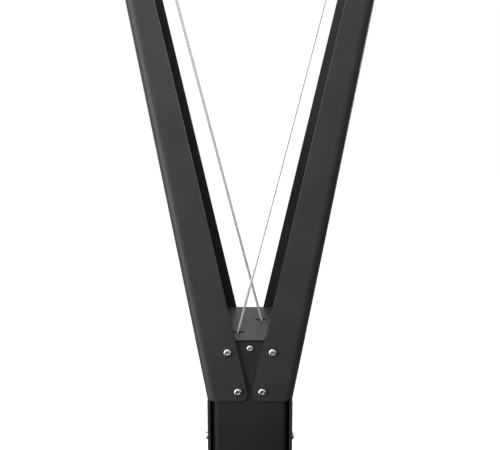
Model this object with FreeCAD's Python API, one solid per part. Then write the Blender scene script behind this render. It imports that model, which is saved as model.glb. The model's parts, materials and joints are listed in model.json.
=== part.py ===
import FreeCAD, Part

import math
import os

# Ski ergometer on its floor stand, in millimetres, +Z up.
# The origin is on the floor, in the middle of the stand's footprint; the front of the machine looks along -Y.
# Pieces are modelled with y counted from the front face of the arms, and moved into place when written.

V = FreeCAD.Vector

# Stand and overall places
PLATFORM_LENGTH = 1270.0
PLATFORM_WIDTH = 597.0
ARMS_BEFORE_REAR = 305.0
ARMS_BEHIND_CENTRE = PLATFORM_LENGTH / 2 - ARMS_BEFORE_REAR
NECK_TOP = 1260.0
OVERRUN = 5.0
SEAT_GAP = 0.3

# Arms: open channels of folded sheet that lean outwards and taper
ARM_SHEET = 3.0
ARM_BEND = 13.0
ARM_RISE = 805.0
ARM_TOP = NECK_TOP + ARM_RISE
ARM_BOTTOM = NECK_TOP - 93.6
ARM_OUTER_AT_NECK = 76.6
ARM_INNER_AT_NECK = 21.2
ARM_REAR_LAP = 1.2
ARM_OUTER_LEAN_SHARE = 0.1785
ARM_INNER_LEAN_SHARE = 0.2177
ARM_DEPTH = 130.0
ARM_DEPTH_TAPER_SHARE = 0.0643
ARM_CORNER = 11.0

# Neck channel, its front cover and its cap
CHANNEL_HALF = 59.5
CHANNEL_WALL = 4.0
CHANNEL_CORNER = 3.0
CHANNEL_BOTTOM = 410.0
CHANNEL_TONGUE_HALF = 44.0
CHANNEL_STEP_GAP = 0.5
COVER_GAP = 2.3
COVER_SHEET = 3.0
COVER_BEND = 9.0
COVER_RETURN = 24.0
COVER_BOTTOM_GAP = 6.0
COVER_TOP_GAP = 3.0
CAP_SHEET = 3.0
CAP_TAB = 1.5
CAP_EDGE = 2.0
CAP_CLEARANCE = 1.2
CAP_APRON = 25.0
CAP_APRON_HALF = 18.0
SLOT_LENGTH = 18.0
SLOT_WIDTH = 7.0

# Fasteners
SCREW_RADIUS = 3.0
SCREW_HEAD_RADIUS = 5.6
SCREW_HEAD_HEIGHT = 3.3
SCREW_HOLE_GAP = 0.15
SCREW_SOCKET = 4.0
SCREW_SOCKET_DEPTH = 2.0
SCREW_LENGTH = 14.0
CENTRE_SCREW_HEAD_RADIUS = 4.7
INSERT_RADIUS = 6.5
INSERT_LENGTH = 7.0
UPPER_SCREW_X = 31.0
UPPER_SCREW_DROP = 20.0
LOWER_SCREW_X = 16.9
LOWER_SCREW_DROP = 79.0
CENTRE_SCREW_DROP = 15.0
SIDE_SCREW_DROP = 153.0
SIDE_SCREW_DEPTH = 15.0
BOLT_HEAD_SHARE = 1.7

# Cords and the wheels they run on
CORD_DIAMETER = 3.2
CORD_LEAN_SHARE = 0.251
CORD_AT_NECK = 16.6
FRONT_CORD_DEPTH = 25.0
REAR_CORD_DEPTH = 73.5
SHEAVE_PITCH = 38.0
SHEAVE_RIM = 43.0
SHEAVE_WIDTH = 13.0
SHEAVE_ABOVE_ARM = 45.0
SHEAVE_HEIGHT = ARM_TOP + SHEAVE_ABOVE_ARM
SHEAVE_DEPTH = -2.0
SHEAVE_BORE_GAP = 0.06
AXLE_RADIUS = 5.0
WEB_SHARE = 0.45
HUB_SHARE = 0.35
RIM_INSIDE_SHARE = 0.8
GROOVE_LIP_SHARE = 0.8
GROOVE_GAP = 0.35
GROOVE_FLOOR_SHARE = 1.6
BEND_EASE_SHARE = 0.992
ROLLER_PITCH = 14.0
ROLLER_RIM = 17.0
ROLLER_WIDTH = 14.0
ROLLER_DROP = 22.0
ROLLER_AXLE_RADIUS = 3.0
SPOOL_PITCH = 32.0
SPOOL_FLANGE = 38.0
SPOOL_WALL = 2.0
SPOOL_LENGTH = 46.0
DRIVE_GROOVE = 24.0
SPOOL_LEAD = 11.0
HUB_PITCH = 17.0
SHOCK_DIAMETER = 6.0
SHOCK_SPACING = 22.0
CLUTCH_RADIUS = 12.0
RETURN_PITCH = 32.0
RETURN_RIM = 37.5
RETURN_WIDTH = 14.0
RETURN_OFFSET = 15.0
RETURN_HEIGHT = 465.0
ANCHOR_DROP = 62.0

# Pulley heads at the tops of the arms
HEAD_LEAN = math.degrees(math.atan(ARM_INNER_LEAN_SHARE))
CHEEK_RADIUS = 48.0
CHEEK_SHEET = 4.0
CHEEK_GAP = 1.5
HOOD_SHEET = 3.5
COLLAR_HEIGHT = 8.0
SPIGOT_LENGTH = 60.0
SPIGOT_GAP = 0.2
HEAD_SCREW_SHARES = (0.25, 0.75)
GUIDE_DROP = 49.0
GUIDE_BODY = 7.0
GUIDE_FLANGE = 10.0
GUIDE_FLANGE_HEIGHT = 4.0
GUIDE_BORE = 2.6
GUIDE_MOUTH = 8.0
GUIDE_ABOVE = 7.0
GUIDE_BELOW = 13.0
NOSE_HALF_DEPTH = 13.0
NOSE_HEIGHT = 16.0
RIB_THICKNESS = 5.0

# Handles
BALL_RADIUS = 12.0
HANDLE_BELOW_BALL = 18.0
HANDLE_LENGTH = 172.0
HANDLE_HEAD_RADIUS = 16.0
HANDLE_STEM_RADIUS = 8.5
HANDLE_END_RADIUS = 19.0
HANDLE_HEAD_HEIGHT = 30.0
HANDLE_END_HEIGHT = 16.0
GRIP_RADIUS = 15.5
GRIP_SWELL = 1.8
GRIP_SWELLS = 3
GRIP_BORE_GAP = 0.1
STRAP_WIDTH = 25.0
STRAP_SHEET = 2.4
STRAP_FRONT = 62.0
STRAP_FOLD = 8.0
STRAP_FOLD_SHARE = 3.0
STRAP_CORNER = 20.0
STRAP_SLOT_DROP = 19.0
STRAP_SLOT_GAP = 0.3

# Fan, shaft, housing and damper
AXLE_DROP = 500.0
AXLE_HEIGHT = NECK_TOP - AXLE_DROP
SHAFT_RADIUS = 8.5
SHAFT_FRONT = -88.0
SHAFT_REAR = 121.0
BEARING_OUTER = 20.0
BEARING_WIDTH = 12.0
BEARING_RACE_SHARE = 0.3
BEARING_RECESS_SHARE = 0.08
SHAFT_CLEAR_SHARE = 1.4
RUNNING_GAP = 0.05
BLOCK_RADIUS = 45.0
BLOCK_DEPTH = 14.0
BLOCK_PROFILE_SHARES = ((0.7, 0), (0.78, 0.5), (1, 0.6), (1, 1))
REAR_PLATE_HALF_HEIGHT = 42.0
REAR_PLATE_DEPTH = 13.0
HOUSING_RADIUS = 232.0
HOUSING_SHEET = 3.0
HOUSING_DEPTH = 104.0
HOUSING_LIP = 14.0
HOUSING_BEND = 26.0
RIM_SHEET = 2.0
RIM_WINDOWS = 36
RIM_WINDOW_SHARE = 0.72
RIM_WINDOW_MARGIN = 6.0
INLET_RADIUS = 108.0
INLET_INNER = 30.0
INLET_WINDOWS = 4
INLET_WINDOW_DEGREES = 44.0
GRILLE_SHEET = 3.0
GRILLE_FLANGE = 8.0
GRILLE_BARS = 6
GRILLE_BAR_WIDTH = 2.5
GRILLE_SPOKES = 16
DAMPER_SHEET = 3.0
DAMPER_GAP = 0.5
DAMPER_RADIUS = 116.0
DAMPER_PIVOT = 9.0
DAMPER_BOSS = 20.0
DAMPER_LEVER = 168.0
DAMPER_LEVER_WIDTH = 16.0
DAMPER_KNOB = 12.0
DAMPER_KNOB_HEIGHT = 16.0
KNOB_PROFILE_SHARES = ((0, 0), (1, 0), (1, 0.2), (0.75, 0.6), (0.9, 1), (0, 1))
DAMPER_CAP_SHARE = 0.7
DAMPER_LEVER_ANGLE = 21.0
FAN_RADIUS = 205.0
FAN_HUB = 32.0
FAN_DISC = 2.5
FAN_BACK = -22.0
FAN_DEPTH = 60.0
FAN_BLADES = 24
FAN_BLADE_SHEET = 2.0
FAN_BLADE_INNER = 118.0
FAN_BLADE_CURVE = 120.0
FAN_RING = 12.0
FAN_HUB_LENGTH = 62.0
FAN_BOSS_SHARE = 1.5
FAN_NOSE_SHARE = 0.8
SENSOR_WIDTH = 24.0
SENSOR_DEPTH = 10.0
SENSOR_HEIGHT = 34.0
SENSOR_PICKUP = 4.5
SENSOR_RADIUS = 70.0

# Monitor and its arm
MONITOR_TILT = 15.0
MONITOR_WIDTH = 190.0
MONITOR_HEIGHT = 140.0
MONITOR_DEPTH = 26.0
MONITOR_CORNER = 16.0
MONITOR_WALL = 3.0
BEZEL_DEPTH = 8.0
BEZEL_SHEET = 3.0
WINDOW_WIDTH = 124.0
WINDOW_HEIGHT = 76.0
WINDOW_RAISE = 20.0
GLASS_SHEET = 2.0
GLASS_MARGIN = 4.0
BUTTON_COUNT = 4
BUTTON_WIDTH = 24.0
BUTTON_HEIGHT = 12.0
BUTTON_PITCH = 36.0
BUTTON_DROP = 45.0
BUTTON_PROUD = 1.6
BUTTON_GAP = 0.3
BUTTON_LIP = 2.0
BUTTON_LIP_SHEET = 1.5
BUTTON_TRAVEL = 1.2
SWITCH_RADIUS = 3.0
DISPLAY_DEPTH = 6.0
BOARD_SHEET = 1.6
BOARD_MARGIN = 9.0
CELL_RADIUS = 7.1
CELL_LENGTH = 50.0
CELL_PITCH = 18.0
PIVOT_DEPTH = -78.0
PIVOT_HEIGHT = NECK_TOP - 203.0
PIVOT_RADIUS = 4.0
PIVOT_GAP = 0.06
LUG_HALF = 9.0
LUG_RADIUS = 11.0
EAR_SHEET = 4.0
EAR_GAP = 0.5
EAR_HEIGHT = 11.0
MONITOR_BEHIND = 14.0
ARM_TUBE_WIDTH = 30.0
ARM_TUBE_HEIGHT = 22.0
TUBE_ROOT_SHARE = 1.4
ARM_PLATE_HALF_WIDTH = 36.0
ARM_PLATE_HEIGHT = 52.0
ARM_PLATE_DROP = 257.0
ARM_PLATE_SHEET = 4.0

# Floor stand
UPRIGHT_WIDTH = 100.0
UPRIGHT_DEPTH = 60.0
UPRIGHT_WALL = 3.0
UPRIGHT_TOP = NECK_TOP - 150.0
UPRIGHT_CAP = 6.0
RAIL_HEIGHT = 50.0
RAIL_WIDTH = 30.0
RAIL_WALL = 3.0
RAIL_FRONT_MARGIN = 10.0
RAIL_REAR_MARGIN = 85.0
PLUG_HEAD = 3.0
PLUG_STEM = 14.0
FOOT_HEIGHT = 12.0
FOOT_RADIUS = 24.0
FOOT_INSET = 45.0
FOOT_PROFILE_SHARES = ((0.9, 0), (1, 0.25), (0.85, 1))
DECK_SHEET = 18.0
DECK_LENGTH = 850.0
DECK_CORNER = 40.0
DECK_EDGE = 4.0
TREAD_SHEET = 4.0
TREAD_WIDTH = 235.0
TREAD_LENGTH = 620.0
TREAD_OFFSET = 140.0
TREAD_CORNER = 24.0
TREAD_BARS = 36
TREAD_BAR_WIDTH = 6.0
TREAD_BAR_HEIGHT = 1.2
TREAD_MARGIN = 9.0
BEAM_DEPTH = 80.0
FOOT_PLATE_SHEET = 8.0
FOOT_PLATE_WIDTH = 200.0
FOOT_PLATE_DEPTH = 110.0
GUSSET_HEIGHT = 150.0
GUSSET_SHEET = 6.0
GUSSET_REACH_SHARE = 0.92
FOOT_BOLT_ACROSS_SHARE = 0.4
FOOT_BOLT_ALONG_SHARE = 0.34
WHEEL_RADIUS = 35.0
WHEEL_WIDTH = 22.0
WHEEL_FLOOR_GAP = 6.0
WHEEL_HUB = 14.0
WHEEL_TAB = 4.0
WHEEL_SIDE_GAP = 1.0
WHEEL_HEAD = 1.5
TYRE_SHARE = 0.72
STAND_BOLT_RADIUS = 5.0
STAND_BOLT_HEAD = 9.0
STAND_BOLT_HEAD_HEIGHT = 6.0
STAND_BOLT_SPACING = 130.0
STAND_BOLT_HALF = 30.0

X_AXIS, Y_AXIS, Z_AXIS = V(1, 0, 0), V(0, 1, 0), V(0, 0, 1)
CORD_RADIUS = CORD_DIAMETER / 2
SHOCK_RADIUS = SHOCK_DIAMETER / 2
SCREW_HOLE = SCREW_RADIUS + SCREW_HOLE_GAP
AXLE_HOLE = AXLE_RADIUS + SCREW_HOLE_GAP
ROLLER_AXLE_HOLE = ROLLER_AXLE_RADIUS + SCREW_HOLE_GAP
BOLT_HOLE = STAND_BOLT_RADIUS + SCREW_HOLE_GAP


# Basic shapes

def box(x0, x1, y0, y1, z0, z1):
    return Part.makeBox(x1 - x0, y1 - y0, z1 - z0, V(x0, y0, z0))


def rod(start, end, radius):
    return Part.makeCylinder(radius, (end - start).Length, start, end - start)


def rod_x(x0, x1, y, z, radius):
    return rod(V(x0, y, z), V(x1, y, z), radius)


def rod_y(x, y0, y1, z, radius):
    return rod(V(x, y0, z), V(x, y1, z), radius)


def rod_z(x, y, z0, z1, radius):
    return rod(V(x, y, z0), V(x, y, z1), radius)


def pipe(start, end, outer, inner):
    return rod(start, end, outer).cut(rod(start, end, inner))


def corner_arc(before, corner, after, radius):
    """Tangent arc at a corner, as its first, middle and last points."""
    along_in = (corner - before).normalize()
    along_out = (after - corner).normalize()
    turn = along_in.getAngle(along_out)
    tangent = radius * math.tan(turn / 2)
    inward = (along_out - along_in).normalize()
    middle = corner + inward * (radius / math.cos(turn / 2) - radius)
    return corner - along_in * tangent, middle, corner + along_out * tangent


def rounded(points, radii, closed=True):
    """Wire of straight runs joined by tangent arcs; a radius of zero keeps a corner sharp."""
    count = len(points)
    edges, ends = [], []
    for i, radius in enumerate(radii):
        open_end = not closed and i in (0, count - 1)
        if open_end or radius == 0:
            ends.append((points[i], points[i]))
            continue
        start, middle, end = corner_arc(points[i - 1], points[i], points[(i + 1) % count], radius)
        ends.append((start, end))
        edges.append((i, Part.Arc(start, middle, end).toShape()))
    runs = []
    for i in range(count if closed else count - 1):
        start, end = ends[i][1], ends[(i + 1) % count][0]
        if (end - start).Length > CORD_RADIUS / 100:
            runs.append((i + 0.5, Part.LineSegment(start, end).toShape()))
    ordered = sorted(edges + runs, key=lambda item: item[0])
    return Part.Wire([edge for place, edge in ordered])


def prism(points, radii, along):
    return Part.Face(rounded(points, radii)).extrude(along)


def hexagon(radius, height):
    """Prism over a hexagon about the origin; the radius goes to its corners."""
    angles = [i * math.pi / 3 for i in range(6)]
    corners = [V(radius * math.cos(angle), radius * math.sin(angle), 0) for angle in angles]
    return prism(corners, [0] * 6, V(0, 0, height))


def turned(profile, base, direction, radii=None):
    """Solid of revolution: the profile lists (radius, distance along the axis)."""
    points = [V(radius, 0, along) for radius, along in profile]
    wire = rounded(points, radii or [0] * len(points))
    solid = Part.Face(wire).revolve(V(0, 0, 0), Z_AXIS, 360)
    solid.Placement = FreeCAD.Placement(base, FreeCAD.Rotation(Z_AXIS, direction))
    return solid


def slab(x0, x1, y0, y1, z0, z1, corner):
    """Upright plate with rounded vertical corners."""
    points = [V(x0, y0, z0), V(x1, y0, z0), V(x1, y1, z0), V(x0, y1, z0)]
    return prism(points, [corner] * len(points), V(0, 0, z1 - z0))


def panel(x0, x1, z0, z1, y0, y1, corner):
    """Plate that stands across Y with rounded corners."""
    points = [V(x0, y0, z0), V(x1, y0, z0), V(x1, y0, z1), V(x0, y0, z1)]
    return prism(points, [corner] * len(points), V(0, y1 - y0, 0))


def sector(inner, outer, start, sweep, y0, y1):
    """Part of a ring about the Y axis through the fan's centre; angles in degrees from +X towards +Z."""
    def place(radius, degrees):
        angle = math.radians(degrees)
        return V(radius * math.cos(angle), y0, AXLE_HEIGHT + radius * math.sin(angle))
    middle, end = start + sweep / 2, start + sweep
    edges = [
        Part.Arc(place(outer, start), place(outer, middle), place(outer, end)).toShape(),
        Part.LineSegment(place(outer, end), place(inner, end)).toShape(),
        Part.Arc(place(inner, end), place(inner, middle), place(inner, start)).toShape(),
        Part.LineSegment(place(inner, start), place(outer, start)).toShape(),
    ]
    return Part.Face(Part.Wire(edges)).extrude(V(0, y1 - y0, 0))


def sweep(points, radii, radius):
    """Round tube along a path of straight runs and tangent arcs."""
    path = rounded(points, radii, closed=False)
    start = points[0]
    ring = Part.Wire(Part.makeCircle(radius, start, points[1] - start))
    return path.makePipeShell([ring], True, False)


def mirrored(shape):
    return shape.mirror(V(0, 0, 0), X_AXIS)


def tangent_line(c1, r1, side1, c2, r2, side2):
    """Points in XZ where a line down from circle 1 touches it and circle 2; side -1 is left, 1 is right."""
    dx, dz = c2[0] - c1[0], c2[1] - c1[1]
    length = math.hypot(dx, dz)
    offset = side2 * r2 - side1 * r1
    lean = math.asin(offset / length)
    base = math.atan2(dx, -dz)
    angle = base + lean
    normal = (math.cos(angle), math.sin(angle))
    first = (c1[0] + side1 * r1 * normal[0], c1[1] + side1 * r1 * normal[1])
    second = (c2[0] + side2 * r2 * normal[0], c2[1] + side2 * r2 * normal[1])
    return first, second


def crossing(p, d, q, e):
    """Where two lines in XZ meet, each given by a point and a direction."""
    det = d[0] * e[1] - d[1] * e[0]
    s = ((q[0] - p[0]) * e[1] - (q[1] - p[1]) * e[0]) / det
    return p[0] + s * d[0], p[1] + s * d[1]


# Arms

def arm_outer(z):
    return ARM_OUTER_AT_NECK + ARM_OUTER_LEAN_SHARE * (z - NECK_TOP)


def arm_inner(z):
    return ARM_INNER_AT_NECK + ARM_INNER_LEAN_SHARE * (z - NECK_TOP)


def arm_depth(z):
    return ARM_DEPTH - ARM_DEPTH_TAPER_SHARE * max(z - NECK_TOP, 0)


def arm_section(z):
    inner, outer, depth = arm_inner(z), arm_outer(z), arm_depth(z)
    sheet, bend = ARM_SHEET, ARM_BEND
    points = [
        V(inner, 0, z), V(outer, 0, z), V(outer, depth, z), V(inner - ARM_REAR_LAP, depth, z),
        V(inner - ARM_REAR_LAP, depth - sheet, z), V(outer - sheet, depth - sheet, z),
        V(outer - sheet, sheet, z), V(inner, sheet, z),
    ]
    return rounded(points, [0, bend, bend, 0, 0, bend - sheet, bend - sheet, 0])


def screw_places():
    """Centres of the two screws of each arm, on the front and rear flanges."""
    yield UPPER_SCREW_X, NECK_TOP - UPPER_SCREW_DROP
    yield LOWER_SCREW_X, NECK_TOP - LOWER_SCREW_DROP


def right_arm():
    lower = Part.makeLoft([arm_section(ARM_BOTTOM), arm_section(NECK_TOP)], True, True)
    upper = Part.makeLoft([arm_section(NECK_TOP), arm_section(ARM_TOP)], True, True)
    arm = lower.fuse(upper).removeSplitter()
    foot, near = arm_inner(ARM_BOTTOM), ARM_REAR_LAP + SEAT_GAP
    corners = [
        edge for edge in arm.Edges
        if abs(edge.CenterOfMass.z - ARM_BOTTOM) < SEAT_GAP and abs(edge.CenterOfMass.x - foot) < near
    ]
    arm = arm.makeFillet(ARM_CORNER, corners)
    for x, z in list(screw_places()) + list(head_screw_places()):
        arm = arm.cut(rod_y(x, -OVERRUN, ARM_DEPTH + OVERRUN, z, SCREW_HOLE))
    return arm


def head_screw_places():
    """Screws that hold each pulley head's spigot in the arm."""
    for share in HEAD_SCREW_SHARES:
        z = ARM_TOP - SPIGOT_LENGTH * share
        yield (arm_inner(z) + arm_outer(z) - ARM_BEND / 2) / 2, z


# Neck

def frame_channel():
    half, wall, rear = CHANNEL_HALF, CHANNEL_WALL, ARM_DEPTH - ARM_SHEET
    outline = [(-half, 0), (-half, rear), (half, rear), (half, 0)]
    outline += [(half - wall, 0), (half - wall, rear - wall), (wall - half, rear - wall), (wall - half, 0)]
    points = [V(x, y, CHANNEL_BOTTOM) for x, y in outline]
    radii = [0, CHANNEL_CORNER, CHANNEL_CORNER, 0, 0, 0, 0, 0]
    height = NECK_TOP - CAP_SHEET - CHANNEL_BOTTOM
    channel = prism(points, radii, V(0, 0, height))
    step = ARM_BOTTOM - CHANNEL_STEP_GAP
    for side in (-1, 1):
        edges = sorted((side * CHANNEL_TONGUE_HALF, side * (half + OVERRUN)))
        channel = channel.cut(box(edges[0], edges[1], -OVERRUN, rear + OVERRUN, step, NECK_TOP))
    floor = box(wall - half, half - wall, 0, rear - wall, CHANNEL_BOTTOM, CHANNEL_BOTTOM + wall)
    channel = channel.fuse(floor)
    y0, y1 = rear - wall - OVERRUN, rear + OVERRUN
    holes = [rod_y(side * x, y0, y1, z, SCREW_HOLE) for x, z in screw_places() for side in (-1, 1)]
    holes += [rod_y(x, y0, y1, z, BOLT_HOLE) for x, z in stand_bolt_places()]
    holes.append(rod_y(-RETURN_OFFSET, y0, y1, RETURN_HEIGHT, AXLE_HOLE))
    span = half + OVERRUN
    holes.append(rod_x(-span, span, SIDE_SCREW_DEPTH, NECK_TOP - SIDE_SCREW_DROP, SCREW_HOLE))
    return channel.cut(holes).removeSplitter()


def stand_bolt_places():
    """Four bolts that hold the channel to the stand's upright."""
    middle = (CHANNEL_BOTTOM + UPRIGHT_TOP) / 2
    for z in (middle - 2 * STAND_BOLT_SPACING, middle + 2 * STAND_BOLT_SPACING):
        for x in (-STAND_BOLT_HALF, STAND_BOLT_HALF):
            yield x, z


def cover_half():
    return CHANNEL_HALF - CHANNEL_WALL - COVER_GAP


def front_cover():
    half, sheet, bend = cover_half(), COVER_SHEET, COVER_BEND
    face, back = ARM_SHEET, ARM_SHEET + COVER_RETURN
    bottom = CHANNEL_BOTTOM + COVER_BOTTOM_GAP
    outline = [(-half, face), (half, face), (half, back), (half - sheet, back)]
    outline += [(half - sheet, face + sheet), (sheet - half, face + sheet), (sheet - half, back)]
    outline.append((-half, back))
    points = [V(x, y, bottom) for x, y in outline]
    radii = [bend, bend, 0, 0, bend - sheet, bend - sheet, 0, 0]
    cover = prism(points, radii, V(0, 0, NECK_TOP - CAP_SHEET - COVER_TOP_GAP - bottom))
    inner = face + sheet
    inserts = [
        rod_y(side * x, inner, inner + INSERT_LENGTH, z, INSERT_RADIUS)
        for x, z in screw_places() for side in (-1, 1)
    ]
    cover = cover.fuse(inserts)
    holes = [rod_y(side * x, 0, back, z, SCREW_HOLE) for x, z in screw_places() for side in (-1, 1)]
    holes += [rod_y(x, 0, back, z, SCREW_HOLE) for x, z in monitor_screw_places()]
    holes.append(rod_y(0, 0, back, NECK_TOP - CENTRE_SCREW_DROP, SCREW_HOLE))
    holes.append(rod_y(0, 0, back, AXLE_HEIGHT, BEARING_OUTER))
    span = half + OVERRUN
    holes.append(rod_x(-span, span, SIDE_SCREW_DEPTH, NECK_TOP - SIDE_SCREW_DROP, SCREW_HOLE))
    return cover.cut(holes)


def cord_slots(z0, z1, length, width):
    """Obround prisms for the two drive cords, front one to the left and rear one to the right."""
    shapes = []
    radius = width / 2
    reach = length / 2 - radius
    for side, depth in ((-1, FRONT_CORD_DEPTH), (1, REAR_CORD_DEPTH)):
        x = side * CORD_AT_NECK
        shape = box(x - reach, x + reach, depth - radius, depth + radius, z0, z1)
        shapes.append(shape.fuse([rod_z(x + end, depth, z0, z1, radius) for end in (-reach, reach)]))
    return shapes


def neck_cap():
    """Plate over the neck with a tab in front and behind, wings inside the arms, and two aprons."""
    front, rear = CAP_TAB, ARM_DEPTH - CAP_TAB
    inner_front = ARM_SHEET + CAP_CLEARANCE
    inner_rear = ARM_DEPTH - ARM_SHEET - CAP_CLEARANCE
    tab = ARM_INNER_AT_NECK - CAP_CLEARANCE
    rear_tab = tab - ARM_REAR_LAP
    half = arm_outer(NECK_TOP) - ARM_SHEET - CAP_CLEARANCE
    z0 = NECK_TOP - CAP_SHEET
    right = [(tab, front), (tab, inner_front), (half, inner_front)]
    right += [(half, inner_rear), (rear_tab, inner_rear), (rear_tab, rear)]
    left = [(-x, y) for x, y in reversed(right)]
    bends = [0, 0, ARM_BEND, ARM_BEND, 0, 0]
    cap = prism([V(x, y, z0) for x, y in right + left], bends + bends, V(0, 0, CAP_SHEET))
    ends = [
        edge for edge in cap.Edges
        if edge.CenterOfMass.z > NECK_TOP - SEAT_GAP and not front < edge.CenterOfMass.y < rear
    ]
    cap = cap.makeFillet(CAP_EDGE, ends)
    for slot in cord_slots(z0 - OVERRUN, NECK_TOP + OVERRUN, SLOT_LENGTH, SLOT_WIDTH):
        cap = cap.cut(slot)
    apron_front = ARM_SHEET + COVER_SHEET
    apron_rear = ARM_DEPTH - ARM_SHEET - CHANNEL_WALL - CAP_SHEET
    for y in (apron_front, apron_rear):
        cap = cap.fuse(box(-CAP_APRON_HALF, CAP_APRON_HALF, y, y + CAP_SHEET, z0 - CAP_APRON, z0))
    hole_end = apron_front + CAP_SHEET + OVERRUN
    hole = rod_y(0, apron_front - OVERRUN, hole_end, NECK_TOP - CENTRE_SCREW_DROP, SCREW_HOLE)
    return cap.cut(hole).removeSplitter()


def button_screw(place, direction, head_radius=SCREW_HEAD_RADIUS, length=SCREW_LENGTH):
    """Domed screw with a hexagon socket; the place is under its head, the direction points into the work."""
    height, shank = SCREW_HEAD_HEIGHT, SCREW_RADIUS
    profile = [(0, -height), (head_radius / 2, -height), (head_radius, -height / 4), (head_radius, 0)]
    profile += [(shank, 0), (shank, length), (0, length)]
    screw = turned(profile, V(0, 0, 0), Z_AXIS)
    socket = hexagon(SCREW_SOCKET / math.sqrt(3), SCREW_SOCKET_DEPTH + OVERRUN)
    socket.translate(V(0, 0, -height - OVERRUN))
    screw = screw.cut(socket)
    screw.Placement = FreeCAD.Placement(place, FreeCAD.Rotation(Z_AXIS, direction))
    return screw


def socket_screws():
    screws = []
    for side in (-1, 1):
        for x, z in screw_places():
            screws.append(button_screw(V(side * x, 0, z), Y_AXIS))
            screws.append(button_screw(V(side * x, ARM_DEPTH, z), -Y_AXIS, length=ARM_SHEET + CHANNEL_WALL))
        for x, z in head_screw_places():
            screws.append(button_screw(V(side * x, 0, z), Y_AXIS))
        place = V(side * CHANNEL_HALF, SIDE_SCREW_DEPTH, NECK_TOP - SIDE_SCREW_DROP)
        screws.append(button_screw(place, V(-side, 0, 0), length=CHANNEL_WALL + COVER_GAP + COVER_SHEET))
    place = V(0, ARM_SHEET, NECK_TOP - CENTRE_SCREW_DROP)
    screws.append(button_screw(place, Y_AXIS, CENTRE_SCREW_HEAD_RADIUS, COVER_SHEET + CAP_SHEET))
    for x, z in monitor_screw_places():
        place = V(x, ARM_SHEET - ARM_PLATE_SHEET, z)
        screws.append(button_screw(place, Y_AXIS, length=ARM_PLATE_SHEET + COVER_SHEET))
    return screws


# Pulley heads; each is built about its sheave's centre, leaning with the arm, on the right side

def head_placement():
    x = sheave_x()
    return FreeCAD.Placement(V(x, SHEAVE_DEPTH, SHEAVE_HEIGHT), FreeCAD.Rotation(Y_AXIS, HEAD_LEAN))


def sheave_x():
    return CORD_LEAN_SHARE * (SHEAVE_HEIGHT - NECK_TOP) - CORD_AT_NECK


def cheek_inside():
    return SHEAVE_WIDTH / 2 + CHEEK_GAP


def spigot_section(z):
    inner, outer = arm_inner(z) + SPIGOT_GAP, arm_outer(z) - ARM_SHEET - SPIGOT_GAP
    front, rear = ARM_SHEET + SPIGOT_GAP, arm_depth(z) - ARM_SHEET - SPIGOT_GAP
    points = [V(inner, front, z), V(outer, front, z), V(outer, rear, z), V(inner, rear, z)]
    return rounded(points, [0, ARM_BEND - ARM_SHEET, ARM_BEND - ARM_SHEET, 0])


def collar_section(z):
    inner, outer, depth = arm_inner(z), arm_outer(z), arm_depth(z)
    points = [V(inner, 0, z), V(outer, 0, z), V(outer, depth, z), V(inner - ARM_REAR_LAP, depth, z)]
    return rounded(points, [0, ARM_BEND, ARM_BEND, 0])


def right_head():
    inside = cheek_inside()
    outside = inside + CHEEK_SHEET
    hood = pipe(V(-outside, 0, 0), V(outside, 0, 0), CHEEK_RADIUS, CHEEK_RADIUS - HOOD_SHEET)
    reach = CHEEK_RADIUS + OVERRUN
    head = hood.cut(box(-outside, outside, -reach, reach, -reach, 0))
    for side in (-1, 1):
        head = head.fuse(rod_x(side * inside, side * outside, 0, 0, CHEEK_RADIUS))
    collar_low = (ARM_TOP - SHEAVE_HEIGHT) / math.cos(math.radians(HEAD_LEAN))
    rear = arm_depth(ARM_TOP) - SHEAVE_DEPTH
    outline = [(-CHEEK_RADIUS / 2, 0), (-SHEAVE_DEPTH, collar_low), (rear, collar_low), (CHEEK_RADIUS, 0)]
    web = prism([V(inside, y, z) for y, z in outline], [0] * 4, V(CHEEK_SHEET, 0, 0))
    guide = -SHEAVE_PITCH
    top = NOSE_HEIGHT / 2 - GUIDE_DROP
    front, back = guide - NOSE_HALF_DEPTH, guide + NOSE_HALF_DEPTH
    added = [web, box(-outside, outside, front, back, top - NOSE_HEIGHT, top)]
    for side in (-1, 1):
        x0, x1 = sorted((side * inside, side * outside))
        added.append(box(x0, x1, front + HOOD_SHEET, back, top - OVERRUN, 0))
    middle = rear / 2
    width = arm_outer(ARM_TOP) - arm_inner(ARM_TOP)
    corners = [(inside, collar_low), (width, collar_low), (outside, OVERRUN)]
    added.append(prism([V(x, middle, z) for x, z in corners], [0] * 3, V(0, RIB_THICKNESS, 0)))
    head = head.fuse(added)
    head = head.cut(rod_z(0, guide, top - NOSE_HEIGHT - OVERRUN, top + OVERRUN, GUIDE_BODY))
    head = head.cut(rod_x(-outside - OVERRUN, outside + OVERRUN, 0, 0, AXLE_HOLE))
    head.Placement = head_placement()
    collar = Part.makeLoft([collar_section(ARM_TOP), collar_section(ARM_TOP + COLLAR_HEIGHT)], True, True)
    spigot = Part.makeLoft([spigot_section(ARM_TOP - SPIGOT_LENGTH), spigot_section(ARM_TOP)], True, True)
    head = head.fuse([collar, spigot])
    far = 2 * arm_outer(ARM_TOP)
    below = box(0, far, -SEAT_GAP, ARM_DEPTH, ARM_TOP - COLLAR_HEIGHT, ARM_TOP)
    head = head.cut(below.cut(spigot))
    for x, z in head_screw_places():
        head = head.cut(rod_y(x, 0, SCREW_LENGTH + SEAT_GAP, z, SCREW_HOLE))
    return head.removeSplitter()


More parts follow.
